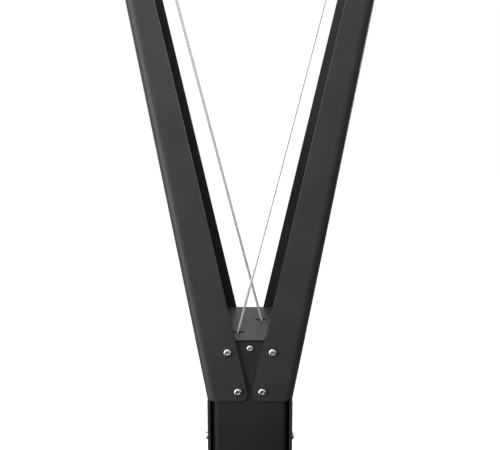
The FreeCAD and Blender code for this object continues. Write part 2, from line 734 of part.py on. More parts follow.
def grooved_wheel(pitch, rim, width, bore, cord_radius):
    """Sheave about the origin, axis along +Z, with a groove that clears the cord and lightened sides."""
    half = width / 2
    bottom = pitch - cord_radius - GROOVE_GAP
    web = half * WEB_SHARE
    lip = half * GROOVE_LIP_SHARE
    hub = bore + (bottom - bore) * HUB_SHARE
    inside = bore + (bottom - bore) * RIM_INSIDE_SHARE
    lower = [(bore, -half), (hub, -half), (hub, -web), (inside, -web), (inside, -half)]
    lower += [(rim, -half), (rim, -lip), (bottom, -cord_radius * GROOVE_FLOOR_SHARE)]
    upper = [(radius, -along) for radius, along in reversed(lower)]
    return turned(lower + upper, V(0, 0, 0), Z_AXIS)


def right_top_sheave():
    wheel = grooved_wheel(SHEAVE_PITCH, SHEAVE_RIM, SHEAVE_WIDTH, AXLE_RADIUS + SHEAVE_BORE_GAP, CORD_RADIUS)
    turn = FreeCAD.Placement(V(0, 0, 0), FreeCAD.Rotation(Z_AXIS, X_AXIS))
    wheel.Placement = head_placement().multiply(turn)
    return wheel


def axle_bolt(start, end, radius, head_height, nut=True):
    """Pin with a round head at its start, and a nut at its end unless that is tapped into a wall."""
    direction = (end - start).normalize()
    head_radius = radius * BOLT_HEAD_SHARE
    bolt = rod(start, end, radius).fuse(rod(start - direction * head_height, start, head_radius))
    if nut:
        end_nut = hexagon(head_radius, head_height)
        end_nut.Placement = FreeCAD.Placement(end, FreeCAD.Rotation(Z_AXIS, direction))
        bolt = bolt.fuse(end_nut)
    return bolt.removeSplitter()


def axle_bolts():
    """Axles of the top sheaves, the slot rollers, the return sheaves and the monitor's tilt."""
    outside = cheek_inside() + CHEEK_SHEET
    bolt = axle_bolt(V(-outside, 0, 0), V(outside, 0, 0), AXLE_RADIUS, AXLE_RADIUS)
    bolt.Placement = head_placement()
    bolts = [bolt, mirrored(bolt)]
    for x, z, depth in roller_places():
        front, rear = roller_cheeks(depth)
        bolts.append(axle_bolt(V(x, front[0], z), V(x, rear[1], z), ROLLER_AXLE_RADIUS, ROLLER_AXLE_RADIUS))
    x, z = -RETURN_OFFSET, RETURN_HEIGHT
    front, rear = return_plate_span()[0], ARM_DEPTH - ARM_SHEET
    bolts.append(axle_bolt(V(x, front, z), V(x, rear, z), AXLE_RADIUS, CHANNEL_WALL, nut=False))
    reach = LUG_HALF + EAR_GAP + EAR_SHEET
    y, z = PIVOT_DEPTH, PIVOT_HEIGHT
    bolts.append(axle_bolt(V(-reach, y, z), V(reach, y, z), PIVOT_RADIUS, PIVOT_RADIUS))
    return bolts


def right_cord_guide():
    profile = [
        (GUIDE_BORE + CORD_RADIUS, -GUIDE_ABOVE), (GUIDE_BODY, -GUIDE_ABOVE), (GUIDE_BODY, NOSE_HEIGHT / 2),
        (GUIDE_FLANGE, NOSE_HEIGHT / 2), (GUIDE_FLANGE, GUIDE_BELOW), (GUIDE_MOUTH, GUIDE_BELOW),
        (GUIDE_BORE, 0),
    ]
    guide = turned(profile, V(0, -SHEAVE_PITCH, -GUIDE_DROP), -Z_AXIS)
    place = head_placement()
    guide.Placement = place.multiply(guide.Placement)
    return guide


def guide_point():
    return head_placement().multVec(V(0, -SHEAVE_PITCH, -GUIDE_DROP))


# Slot rollers, spools and return sheaves

def roller_places():
    """Centre and depth of the two rollers under the slots: the front cord leans left, the rear one right."""
    lean = math.atan(CORD_LEAN_SHARE)
    for side, depth in ((-1, FRONT_CORD_DEPTH), (1, REAR_CORD_DEPTH)):
        touch_x = side * (CORD_AT_NECK + ROLLER_DROP * math.sin(lean))
        touch_z = NECK_TOP - ROLLER_DROP * math.cos(lean)
        x = touch_x - side * ROLLER_PITCH * math.cos(lean)
        z = touch_z - ROLLER_PITCH * math.sin(lean)
        yield x, z, depth


def roller_cheeks(depth):
    reach = ROLLER_WIDTH / 2 + WHEEL_SIDE_GAP
    return (depth - reach - CAP_SHEET, depth - reach), (depth + reach, depth + reach + CAP_SHEET)


def slot_roller(index):
    x, z, depth = list(roller_places())[index]
    bore = ROLLER_AXLE_RADIUS + SHEAVE_BORE_GAP
    wheel = grooved_wheel(ROLLER_PITCH, ROLLER_RIM, ROLLER_WIDTH, bore, CORD_RADIUS)
    wheel.Placement = FreeCAD.Placement(V(x, depth, z), FreeCAD.Rotation(Z_AXIS, Y_AXIS))
    return wheel


def roller_bracket():
    """Carrier under the cap: a floor with four cheeks for the rollers and eyes for the shock cords' ends."""
    low = NECK_TOP - ANCHOR_DROP
    high = low + CAP_SHEET
    front = roller_cheeks(FRONT_CORD_DEPTH)[0][0]
    rear = ARM_DEPTH - ARM_SHEET - CHANNEL_WALL
    half = cover_half() - COVER_SHEET - SEAT_GAP
    tab = CHANNEL_TONGUE_HALF / 2
    carrier = box(-half, half, front, rear, low, high)
    added = [box(-tab, tab, rear - CAP_SHEET, rear, low, low + CAP_APRON / 2)]
    holes = []
    for x, z, depth in roller_places():
        cheeks = roller_cheeks(depth)
        for y0, y1 in cheeks:
            added.append(box(x - ROLLER_RIM, x + ROLLER_RIM, y0, y1, low, NECK_TOP - CAP_SHEET))
        holes.append(rod_y(x, cheeks[0][0] - OVERRUN, cheeks[1][1] + OVERRUN, z, ROLLER_AXLE_HOLE))
    for route in drive_routes():
        entry, leaving = route[-3], route[-2]
        spot = entry + (leaving - entry) * ((low - entry.z) / (leaving.z - entry.z))
        holes.append(rod_z(spot.x, spot.y, low - OVERRUN, high, SLOT_WIDTH / 2))
    eye = SHOCK_RADIUS + SCREW_HOLE_GAP
    for depth in return_depths():
        holes.append(rod_z(-RETURN_OFFSET - RETURN_PITCH, depth, low - OVERRUN, high + OVERRUN, eye))
    return carrier.fuse(added).cut(holes).removeSplitter()


def spool_starts():
    """Front ends of the two spools, so that each drive groove lies under its slot."""
    return [depth - SPOOL_LEAD - SPOOL_WALL for depth in (FRONT_CORD_DEPTH, REAR_CORD_DEPTH)]


def return_depths():
    return [start + SPOOL_WALL + SPOOL_LEAD + SHOCK_SPACING for start in spool_starts()]


def spool(start):
    """Spool with a drive groove and a return groove, and the turns of cord wound beside each free strand."""
    drum = SPOOL_PITCH - CORD_RADIUS - GROOVE_GAP
    hub = max(HUB_PITCH - SHOCK_RADIUS - GROOVE_GAP, CLUTCH_RADIUS + SPOOL_WALL / 2)
    middle = SPOOL_WALL + DRIVE_GROOVE
    last = SPOOL_LENGTH - SPOOL_WALL
    profile = [
        (CLUTCH_RADIUS, 0), (SPOOL_FLANGE, 0), (SPOOL_FLANGE, SPOOL_WALL), (drum, SPOOL_WALL), (drum, middle),
        (SPOOL_FLANGE, middle), (SPOOL_FLANGE, middle + SPOOL_WALL), (hub, middle + SPOOL_WALL), (hub, last),
        (SPOOL_FLANGE, last), (SPOOL_FLANGE, SPOOL_LENGTH), (CLUTCH_RADIUS, SPOOL_LENGTH),
    ]
    body = turned(profile, V(0, start, AXLE_HEIGHT), Y_AXIS)
    lead = SPOOL_WALL + SPOOL_LEAD + CORD_DIAMETER
    turns = [(drum, lead), (drum + CORD_DIAMETER, lead), (drum + CORD_DIAMETER, middle), (drum, middle)]
    winding = turned(turns, V(0, start, AXLE_HEIGHT), Y_AXIS)
    return [body, winding]


def clutch(start):
    """One-way clutch pressed in a spool's bore; it runs on the shaft."""
    width = SPOOL_LENGTH - 2 * SPOOL_WALL
    inner = SHAFT_RADIUS + RUNNING_GAP
    profile = [(inner, 0), (CLUTCH_RADIUS, 0), (CLUTCH_RADIUS, width), (inner, width)]
    return turned(profile, V(0, start + SPOOL_WALL, AXLE_HEIGHT), Y_AXIS)


def return_sheave(depth):
    bore = AXLE_RADIUS + SHEAVE_BORE_GAP
    wheel = grooved_wheel(RETURN_PITCH, RETURN_RIM, RETURN_WIDTH, bore, SHOCK_RADIUS)
    centre = V(-RETURN_OFFSET, depth, RETURN_HEIGHT)
    wheel.Placement = FreeCAD.Placement(centre, FreeCAD.Rotation(Z_AXIS, Y_AXIS))
    return wheel


def return_plate_span():
    rear = return_depths()[0] - RETURN_WIDTH / 2 - WHEEL_SIDE_GAP
    return rear - CHANNEL_WALL, rear


def return_bracket():
    """Plate between the channel's sides at the front end of the return axle, and two spacers on that axle."""
    inside = CHANNEL_HALF - CHANNEL_WALL
    front, rear = return_plate_span()
    x, z = -RETURN_OFFSET, RETURN_HEIGHT
    plate = box(-inside, inside, front, rear, z - RETURN_PITCH, z + RETURN_PITCH)
    plate = plate.cut(rod_y(x, front - OVERRUN, rear + OVERRUN, z, AXLE_HOLE))
    reach = RETURN_WIDTH / 2 + WHEEL_SIDE_GAP
    first, second = return_depths()
    spans = (first + reach, second - reach), (second + reach, ARM_DEPTH - ARM_SHEET - CHANNEL_WALL)
    outer = AXLE_RADIUS * BOLT_HEAD_SHARE
    spacers = [pipe(V(x, y0, z), V(x, y1, z), outer, AXLE_HOLE) for y0, y1 in spans]
    return [plate] + spacers


# Cords

def drive_routes():
    """Corner points of each drive cord, from the guide over the sheave and the slot roller to the spool.

    The first route is the cord of the right arm, which runs to the front slot; the second is the left arm's.
    """
    routes = []
    place = head_placement()
    up = SHEAVE_PITCH
    for index, (x, z, depth) in enumerate(roller_places()):
        side = -1 if index == 0 else 1
        mirror = 1 if index == 0 else -1
        first, second = tangent_line((x, z), ROLLER_PITCH, side, (0, AXLE_HEIGHT), SPOOL_PITCH, 1)
        down = (second[0] - first[0], second[1] - first[1])
        slot = (side * CORD_AT_NECK, NECK_TOP)
        top = (mirror * sheave_x(), SHEAVE_HEIGHT)
        turn = crossing(slot, (top[0] - slot[0], top[1] - slot[1]), first, down)
        aim = place.inverse().multVec(V(mirror * turn[0], depth, turn[1]))
        touch, _ = tangent_line((0, 0), up, 1, (aim.y, aim.z), 0, 1)
        corner = crossing((0, up), (1, 0), touch, (aim.y - touch[0], aim.z - touch[1]))
        head = []
        for local in (V(0, -up, -GUIDE_DROP + GUIDE_ABOVE / 2), V(0, -up, up), V(0, corner[0], up)):
            world = place.multVec(local)
            head.append(V(mirror * world.x, world.y, world.z))
        spool_turn = crossing(first, down, (0, AXLE_HEIGHT - SPOOL_PITCH), (1, 0))
        down_to_spool = [V(turn[0], depth, turn[1]), V(spool_turn[0], depth, spool_turn[1])]
        routes.append(head + down_to_spool + [V(0, depth, AXLE_HEIGHT - SPOOL_PITCH)])
    return routes


def drive_bends():
    """Radii of a drive cord's bends: twice at the sheave, at the slot roller and at the spool."""
    over_sheave = SHEAVE_PITCH * BEND_EASE_SHARE
    return [over_sheave, over_sheave, ROLLER_PITCH, SPOOL_PITCH * BEND_EASE_SHARE]


def drive_cord(index):
    return sweep(drive_routes()[index], [0] + drive_bends() + [0], CORD_RADIUS)


def shock_bends():
    """Radii of a return cord's bends: at the spool and twice at the return sheave."""
    return [HUB_PITCH * BEND_EASE_SHARE, RETURN_PITCH * BEND_EASE_SHARE, RETURN_PITCH * BEND_EASE_SHARE]


def shock_cord(depth):
    """Return cord from the spool's small groove, under the return sheave and up to its eye and knot."""
    low = RETURN_HEIGHT - RETURN_PITCH
    right, left = RETURN_PITCH - RETURN_OFFSET, -RETURN_PITCH - RETURN_OFFSET
    top = NECK_TOP - ANCHOR_DROP + CAP_SHEET
    high = AXLE_HEIGHT + HUB_PITCH
    places = [(0, high), (HUB_PITCH, high), (right, low), (left, low), (left, top + SHOCK_DIAMETER)]
    points = [V(x, depth, z) for x, z in places]
    cord = sweep(points, [0] + shock_bends() + [0], SHOCK_RADIUS)
    knot = Part.makeSphere(SHOCK_DIAMETER, V(left, depth, top + SHOCK_DIAMETER))
    reach = 2 * SHOCK_DIAMETER
    knot = knot.cut(box(left - reach, left + reach, depth - reach, depth + reach, top - reach, top))
    return cord.fuse(knot)


# Handles, on the right side

def ball_centre():
    """Stop ball just under the cord guide, on the vertical through the guide."""
    start = guide_point()
    place = head_placement().inverse()
    reach = GUIDE_DROP + GUIDE_BELOW + BALL_RADIUS + SEAT_GAP
    level = place.multVec(start).z
    drop = (reach + level) / math.cos(math.radians(HEAD_LEAN))
    return V(start.x, start.y, start.z - drop)


def handle_top():
    return ball_centre() - V(0, 0, BALL_RADIUS + HANDLE_BELOW_BALL)


def strap_levels():
    """Heights of the slots in the handle's head and end, which the strap passes through."""
    top = handle_top().z
    return top - STRAP_SLOT_DROP, top - HANDLE_LENGTH + HANDLE_END_HEIGHT / 2


def right_stop_ball():
    centre = ball_centre()
    ball = Part.makeSphere(BALL_RADIUS, centre)
    reach = V(0, 0, BALL_RADIUS + OVERRUN)
    return ball.cut(rod(centre - reach, centre + reach, CORD_RADIUS + SCREW_HOLE_GAP))


def right_pull_cord():
    start = guide_point() - V(0, 0, CORD_RADIUS)
    end = handle_top() - V(0, 0, STRAP_SLOT_DROP / 2)
    return rod(end, start, CORD_RADIUS)


def right_handle():
    """Stem with a domed head, which holds the cord and the strap, and a round end."""
    top = handle_top()
    head, end, bevel = HANDLE_HEAD_RADIUS, HANDLE_END_RADIUS, STRAP_SHEET
    neck, last = HANDLE_HEAD_HEIGHT, HANDLE_LENGTH - HANDLE_END_HEIGHT
    profile = [(0, 0), (head / 2, 0), (head, neck / 3), (head, neck - 2 * bevel), (head - bevel, neck)]
    profile += [(HANDLE_STEM_RADIUS, neck), (HANDLE_STEM_RADIUS, last), (end - bevel, last)]
    profile += [(end, last + HANDLE_END_HEIGHT / 2), (end - bevel, HANDLE_LENGTH), (0, HANDLE_LENGTH)]
    handle = turned(profile, top, -Z_AXIS)
    hole = CORD_RADIUS + SCREW_HOLE_GAP
    cord_hole = rod_z(top.x, top.y, top.z - STRAP_SLOT_DROP / 2, top.z + OVERRUN, hole)
    half = STRAP_WIDTH / 2 + STRAP_SLOT_GAP
    thick = STRAP_SHEET / 2 + STRAP_SLOT_GAP
    slots = [
        box(top.x - half, top.x + half, top.y - 2 * head, top.y + 2 * head, z - thick, z + thick)
        for z in strap_levels()
    ]
    return handle.cut([cord_hole] + slots)


def right_grip():
    """Rubber sleeve with soft swells for the fingers."""
    top = handle_top()
    start, end = HANDLE_HEAD_HEIGHT, HANDLE_LENGTH - HANDLE_END_HEIGHT
    bore = HANDLE_STEM_RADIUS + GRIP_BORE_GAP
    steps = 4 * GRIP_SWELLS
    points = [(bore, start), (GRIP_RADIUS, start)]
    for i in range(1, steps):
        share = i / steps
        lift = GRIP_SWELL * (1 - math.cos(2 * math.pi * GRIP_SWELLS * share)) / 2
        points.append((GRIP_RADIUS + lift, start + (end - start) * share))
    points += [(GRIP_RADIUS, end), (bore, end)]
    return turned(points, top, -Z_AXIS)


def right_hand_strap():
    """Webbing band over the back of the hand; its folded ends stop it behind the handle's two slots."""
    top = handle_top()
    x, half = top.x - STRAP_WIDTH / 2, STRAP_SHEET / 2
    front, back = top.y - STRAP_FRONT, top.y + HANDLE_END_RADIUS + SEAT_GAP
    rear = back + STRAP_FOLD
    high, low = strap_levels()
    outline = [(front, low - half), (rear, low - half), (rear, high + half), (front, high + half)]
    outer = prism([V(x, y, z) for y, z in outline], [STRAP_CORNER, 0, 0, STRAP_CORNER], V(STRAP_WIDTH, 0, 0))
    far, bend = rear + OVERRUN, STRAP_CORNER - STRAP_SHEET
    front += STRAP_SHEET
    outline = [(front, low + half), (far, low + half), (far, high - half), (front, high - half)]
    inner = prism([V(x, y, z) for y, z in outline], [bend, 0, 0, bend], V(STRAP_WIDTH, 0, 0))
    fold = half * STRAP_FOLD_SHARE
    folds = [box(x, x + STRAP_WIDTH, back, rear, z - fold, z + fold) for z in (low, high)]
    return outer.cut(inner).fuse(folds).removeSplitter()


# Fan, shaft and bearings

def flywheel_shaft():
    shaft = rod_y(0, SHAFT_FRONT, SHAFT_REAR, AXLE_HEIGHT, SHAFT_RADIUS)
    face = FAN_BACK - FAN_HUB_LENGTH
    lock = rod_y(0, face - SHAFT_RADIUS, face, AXLE_HEIGHT, SHAFT_RADIUS * BOLT_HEAD_SHARE)
    return shaft.fuse(lock).removeSplitter()


def bearing(front):
    """Ball bearing as one ring, its faces set back between the inner and outer races."""
    inner, outer = SHAFT_RADIUS + RUNNING_GAP, BEARING_OUTER
    recess = (outer - inner) * BEARING_RECESS_SHARE
    race = (outer - inner) * BEARING_RACE_SHARE
    near = [(inner, 0), (inner + race, 0), (inner + race, recess)]
    near += [(outer - race, recess), (outer - race, 0), (outer, 0)]
    far = [(radius, BEARING_WIDTH - along) for radius, along in reversed(near)]
    return turned(near + far, V(0, front, AXLE_HEIGHT), Y_AXIS)


def bearing_fronts():
    front_block = -HOUSING_SHEET - BLOCK_DEPTH
    rear_plate = ARM_DEPTH - ARM_SHEET - CHANNEL_WALL - REAR_PLATE_DEPTH
    return front_block, rear_plate


def bearing_plates():
    """Turned block that carries the front bearing, and the plate in the channel for the rear one."""
    front_block, rear_plate = bearing_fronts()
    lip = SHAFT_RADIUS * SHAFT_CLEAR_SHARE
    profile = [(BEARING_OUTER, 0)]
    profile += [(BLOCK_RADIUS * radial, BLOCK_DEPTH * along) for radial, along in BLOCK_PROFILE_SHARES]
    profile += [(lip, BLOCK_DEPTH), (lip, BEARING_WIDTH), (BEARING_OUTER, BEARING_WIDTH)]
    block = turned(profile, V(0, front_block, AXLE_HEIGHT), Y_AXIS)
    inside, tall = CHANNEL_HALF - CHANNEL_WALL, REAR_PLATE_HALF_HEIGHT
    rear = rear_plate + REAR_PLATE_DEPTH
    plate = box(-inside, inside, rear_plate, rear, AXLE_HEIGHT - tall, AXLE_HEIGHT + tall)
    seat = rod_y(0, rear_plate - OVERRUN, rear_plate + BEARING_WIDTH, AXLE_HEIGHT, BEARING_OUTER)
    return [block, plate.cut(seat)]


def fan_wheel():
    """Disc with a long hub, curved blades all round and a ring across their front ends."""
    front = FAN_BACK - FAN_DEPTH
    boss = FAN_HUB * FAN_BOSS_SHARE
    profile = [(SHAFT_RADIUS, 0), (FAN_RADIUS, 0), (FAN_RADIUS, FAN_DISC), (boss, FAN_DISC)]
    profile += [(FAN_HUB, FAN_HUB / 2), (FAN_HUB * FAN_NOSE_SHARE, FAN_HUB_LENGTH)]
    profile.append((SHAFT_RADIUS, FAN_HUB_LENGTH))
    disc = turned(profile, V(0, FAN_BACK, AXLE_HEIGHT), -Y_AXIS)
    ends = V(0, front, AXLE_HEIGHT), V(0, front + FAN_DISC, AXLE_HEIGHT)
    ring = pipe(ends[0], ends[1], FAN_RADIUS, FAN_RADIUS - FAN_RING)
    blades = [fan_blade(i * 360.0 / FAN_BLADES, front) for i in range(FAN_BLADES)]
    return disc.fuse([ring] + blades).removeSplitter()


def fan_blade(degrees, front):
    """Forward-curved blade between the disc and the front ring."""
    inner, outer = FAN_BLADE_INNER, FAN_RADIUS - SEAT_GAP
    bow = (outer - inner) ** 2 / (8 * FAN_BLADE_CURVE)
    middle = (inner + outer) / 2
    half = FAN_BLADE_SHEET / 2
    edges = [
        Part.Arc(V(inner, 0, half), V(middle, 0, bow + half), V(outer, 0, half)).toShape(),
        Part.LineSegment(V(outer, 0, half), V(outer, 0, -half)).toShape(),
        Part.Arc(V(outer, 0, -half), V(middle, 0, bow - half), V(inner, 0, -half)).toShape(),
        Part.LineSegment(V(inner, 0, -half), V(inner, 0, half)).toShape(),
    ]
    depth = FAN_DEPTH - FAN_DISC / 2
    blade = Part.Face(Part.Wire(edges)).extrude(V(0, depth, 0))
    blade.rotate(V(0, 0, 0), Y_AXIS, degrees)
    blade.translate(V(0, front, AXLE_HEIGHT))
    return blade


# Housing and damper

def housing_back():
    outer, sheet, bore = HOUSING_RADIUS, HOUSING_SHEET, SHAFT_RADIUS * SHAFT_CLEAR_SHARE
    profile = [(bore, 0), (outer, 0), (outer, HOUSING_LIP), (outer - sheet, HOUSING_LIP)]
    profile += [(outer - sheet, sheet), (bore, sheet)]
    return turned(profile, V(0, 0, AXLE_HEIGHT), -Y_AXIS, [0, sheet * 2, 0, 0, sheet, 0])


def rim_span():
    back = -2 * HOUSING_SHEET
    front = -HOUSING_DEPTH + HOUSING_BEND
    return front, back


def housing_rim():
    """Band between the two dishes, pierced all round for the air."""
    front, back = rim_span()
    outer = HOUSING_RADIUS - HOUSING_SHEET
    band = pipe(V(0, front, AXLE_HEIGHT), V(0, back, AXLE_HEIGHT), outer, outer - RIM_SHEET)
    pitch = 360.0 / RIM_WINDOWS
    width = 2 * math.pi * outer / RIM_WINDOWS * RIM_WINDOW_SHARE
    y0, y1 = front + RIM_WINDOW_MARGIN + HOUSING_LIP / 2, -HOUSING_LIP - RIM_WINDOW_MARGIN / 2
    cutters = []
    for i in range(RIM_WINDOWS):
        cutter = box(outer - RIM_SHEET - OVERRUN, outer + OVERRUN, y0, y1, -width / 2, width / 2)
        cutter.rotate(V(0, 0, 0), Y_AXIS, i * pitch)
        cutter.translate(V(0, 0, AXLE_HEIGHT))
        cutters.append(cutter)
    return band.cut(cutters)


def housing_front():
    """Front dish with its sector windows for the air inlet."""
    outer, sheet, bend = HOUSING_RADIUS, HOUSING_SHEET, HOUSING_BEND
    rear = HOUSING_DEPTH - HOUSING_BEND - HOUSING_LIP / 2
    profile = [
        (DAMPER_PIVOT, HOUSING_DEPTH), (outer, HOUSING_DEPTH), (outer, rear), (outer - sheet, rear),
        (outer - sheet, HOUSING_DEPTH - sheet), (DAMPER_PIVOT, HOUSING_DEPTH - sheet),
    ]
    radii = [0, bend, 0, 0, bend - sheet, 0]
    dish = turned(profile, V(0, 0, AXLE_HEIGHT), -Y_AXIS, radii)
    return dish.cut(inlet_windows(-HOUSING_DEPTH - OVERRUN, -HOUSING_DEPTH + sheet + OVERRUN))


def inlet_windows(y0, y1):
    pitch = 360.0 / INLET_WINDOWS
    return [
        sector(INLET_INNER, INLET_RADIUS, i * pitch, INLET_WINDOW_DEGREES, y0, y1)
        for i in range(INLET_WINDOWS)
    ]


def inlet_grille():
    """Finger guard behind the inlet windows: rings and spokes, with the boss that carries the damper."""
    y0 = HOUSING_SHEET - HOUSING_DEPTH
    y1 = y0 + GRILLE_SHEET
    centre, back = V(0, y0, AXLE_HEIGHT), V(0, y1, AXLE_HEIGHT)
    half = GRILLE_BAR_WIDTH / 2
    pitch = (INLET_RADIUS - INLET_INNER) / GRILLE_BARS
    pieces = [rod(centre, back, INLET_INNER)]
    for i in range(1, GRILLE_BARS):
        radius = INLET_INNER + i * pitch
        pieces.append(pipe(centre, back, radius + half, radius - half))
    for i in range(GRILLE_SPOKES):
        spoke = box(INLET_INNER - half, INLET_RADIUS + half, y0, y1, -half, half)
        spoke.rotate(V(0, 0, 0), Y_AXIS, i * 360.0 / GRILLE_SPOKES)
        spoke.translate(V(0, 0, AXLE_HEIGHT))
        pieces.append(spoke)
    front = -HOUSING_DEPTH - DAMPER_GAP - DAMPER_SHEET - DAMPER_GAP
    pieces.append(rod_y(0, front, y1, AXLE_HEIGHT, DAMPER_PIVOT - RUNNING_GAP))
    cap = [(0, 0), (DAMPER_BOSS, 0), (DAMPER_BOSS, DAMPER_SHEET / 2)]
    cap += [(DAMPER_BOSS * DAMPER_CAP_SHARE, DAMPER_SHEET), (0, DAMPER_SHEET)]
    pieces.append(turned(cap, V(0, front, AXLE_HEIGHT), -Y_AXIS))
    rim = pipe(centre, back, INLET_RADIUS + GRILLE_FLANGE, INLET_RADIUS)
    return rim.fuse(pieces).removeSplitter()


def damper_ring():
    """Disc with windows like the inlet's, and the lever that turns it over them."""
    back = -HOUSING_DEPTH - DAMPER_GAP
    front = back - DAMPER_SHEET
    disc = pipe(V(0, front, AXLE_HEIGHT), V(0, back, AXLE_HEIGHT), DAMPER_RADIUS, DAMPER_PIVOT)
    disc = disc.cut(inlet_windows(front - OVERRUN, back + OVERRUN))
    half = DAMPER_LEVER_WIDTH / 2
    lever = box(DAMPER_RADIUS - DAMPER_LEVER_WIDTH, DAMPER_LEVER, front, back, -half, half)
    profile = [(DAMPER_KNOB * radial, DAMPER_KNOB_HEIGHT * along) for radial, along in KNOB_PROFILE_SHARES]
    knob = turned(profile, V(DAMPER_LEVER, back, 0), -Y_AXIS)
    arm = lever.fuse(knob)
    arm.rotate(V(0, 0, 0), Y_AXIS, DAMPER_LEVER_ANGLE)
    arm.translate(V(0, 0, AXLE_HEIGHT))
    return disc.fuse(arm).removeSplitter()


def speed_sensor():
    """Sensor body on the housing's back, with its pickup towards the fan's disc."""
    back = -HOUSING_SHEET
    front = back - SENSOR_DEPTH
    z = AXLE_HEIGHT + SENSOR_RADIUS
    half, tall = SENSOR_WIDTH / 2, SENSOR_HEIGHT / 2
    body = panel(-half, half, z - tall, z + tall, front, back, half / 2)
    pickup = rod_y(0, front - SENSOR_PICKUP, front, z, SENSOR_PICKUP)
    return body.fuse(pickup).removeSplitter()


# Monitor, built about its tilt pin with the screen towards -Y, then tilted

def monitor_placement():
    return FreeCAD.Placement(V(0, PIVOT_DEPTH, PIVOT_HEIGHT), FreeCAD.Rotation(X_AXIS, -MONITOR_TILT))


def placed(shape):
    shape.Placement = monitor_placement().multiply(shape.Placement)
    return shape


def monitor_faces():
    """Depths of the case's back, the case's front edge and the bezel's face."""
    back = -MONITOR_BEHIND
    seam = back - MONITOR_DEPTH
    return back, seam, seam - BEZEL_DEPTH


def monitor_back():
    """Rear shell with the lug for the tilt pin, and the two cells that lie in it."""
    back, seam, face = monitor_faces()
    half, tall, wall = MONITOR_WIDTH / 2, MONITOR_HEIGHT / 2, MONITOR_WALL
    case = panel(-half, half, -tall, tall, seam, back, MONITOR_CORNER)
    inner = MONITOR_CORNER - wall
    hollow = panel(wall - half, half - wall, wall - tall, tall - wall, seam - OVERRUN, back - wall, inner)
    lug = box(-LUG_HALF, LUG_HALF, back - wall / 2, 0, -LUG_RADIUS, LUG_RADIUS)
    lug = lug.fuse(rod_x(-LUG_HALF, LUG_HALF, 0, 0, LUG_RADIUS))
    pin = rod_x(-LUG_HALF - OVERRUN, LUG_HALF + OVERRUN, 0, 0, PIVOT_RADIUS + PIVOT_GAP)
    shell = case.cut(hollow).fuse(lug).cut(pin).removeSplitter()
    y = back - wall - CELL_RADIUS
    half = CELL_LENGTH / 2
    cells = [rod_x(-half, half, y, row * CELL_PITCH / 2, CELL_RADIUS) for row in (-1, 1)]
    return [placed(piece) for piece in [shell] + cells]


def button_spots():
    first = -(BUTTON_COUNT - 1) / 2
    return [(BUTTON_PITCH * (first + i), -BUTTON_DROP) for i in range(BUTTON_COUNT)]


def monitor_bezel():
    """Front frame of the monitor with the window's opening and a hole for each button."""
    back, seam, face = monitor_faces()
    half, tall, sheet = MONITOR_WIDTH / 2, MONITOR_HEIGHT / 2, BEZEL_SHEET
    bezel = panel(-half, half, -tall, tall, face, seam, MONITOR_CORNER)
    y0, y1 = face - OVERRUN, face + sheet + OVERRUN
    inner, side, top = face + sheet, half - sheet, tall - sheet
    hollow = panel(-side, side, -top, top, inner, seam + OVERRUN, MONITOR_CORNER - sheet)
    wide, high = WINDOW_WIDTH / 2, WINDOW_HEIGHT / 2
    holes = [box(-wide, wide, y0, y1, WINDOW_RAISE - high, WINDOW_RAISE + high)]
    wide, high = BUTTON_WIDTH / 2 + BUTTON_GAP, BUTTON_HEIGHT / 2 + BUTTON_GAP
    for x, z in button_spots():
        holes.append(box(x - wide, x + wide, y0, y1, z - high, z + high))
    return placed(bezel.cut(hollow).cut(holes))


def monitor_screen():
    """Window pane, and behind it the circuit board with the display and a switch under each button."""
    back, seam, face = monitor_faces()
    wide, high = WINDOW_WIDTH / 2 + GLASS_MARGIN, WINDOW_HEIGHT / 2 + GLASS_MARGIN
    low, top = WINDOW_RAISE - high, WINDOW_RAISE + high
    pane_back = face + BEZEL_SHEET + GLASS_SHEET
    pane = box(-wide, wide, face + BEZEL_SHEET, pane_back, low, top)
    board_front = pane_back + DISPLAY_DEPTH
    edge, tall = MONITOR_WIDTH / 2 - BOARD_MARGIN, MONITOR_HEIGHT / 2 - BOARD_MARGIN
    display = box(-wide, wide, pane_back, board_front, low, top)
    board = box(-edge, edge, board_front, board_front + BOARD_SHEET, -tall, tall)
    switch_front = button_back() + BUTTON_TRAVEL + SEAT_GAP
    switches = [rod_y(x, switch_front, board_front, z, SWITCH_RADIUS) for x, z in button_spots()]
    board = board.fuse([display] + switches).removeSplitter()
    return [placed(pane), placed(board)]


def button_back():
    """Depth of the inner face of a button's lip at rest."""
    return monitor_faces()[2] + BEZEL_SHEET + SEAT_GAP + BUTTON_LIP_SHEET


def menu_button(index):
    """Button with a lip behind the bezel that keeps it in."""
    face = monitor_faces()[2]
    x, z = button_spots()[index]
    wide, high = BUTTON_WIDTH / 2, BUTTON_HEIGHT / 2
    inner = face + BEZEL_SHEET + SEAT_GAP
    cap = box(x - wide, x + wide, face - BUTTON_PROUD, inner, z - high, z + high)
    wide, high = wide + BUTTON_LIP, high + BUTTON_LIP
    lip = box(x - wide, x + wide, inner, button_back(), z - high, z + high)
    return placed(cap.fuse(lip).removeSplitter())


def monitor_screw_places():
    z = NECK_TOP - ARM_PLATE_DROP + ARM_PLATE_HEIGHT / 2
    reach = (ARM_PLATE_HALF_WIDTH + ARM_TUBE_WIDTH / 2) / 2
    for x in (-reach, reach):
        yield x, z


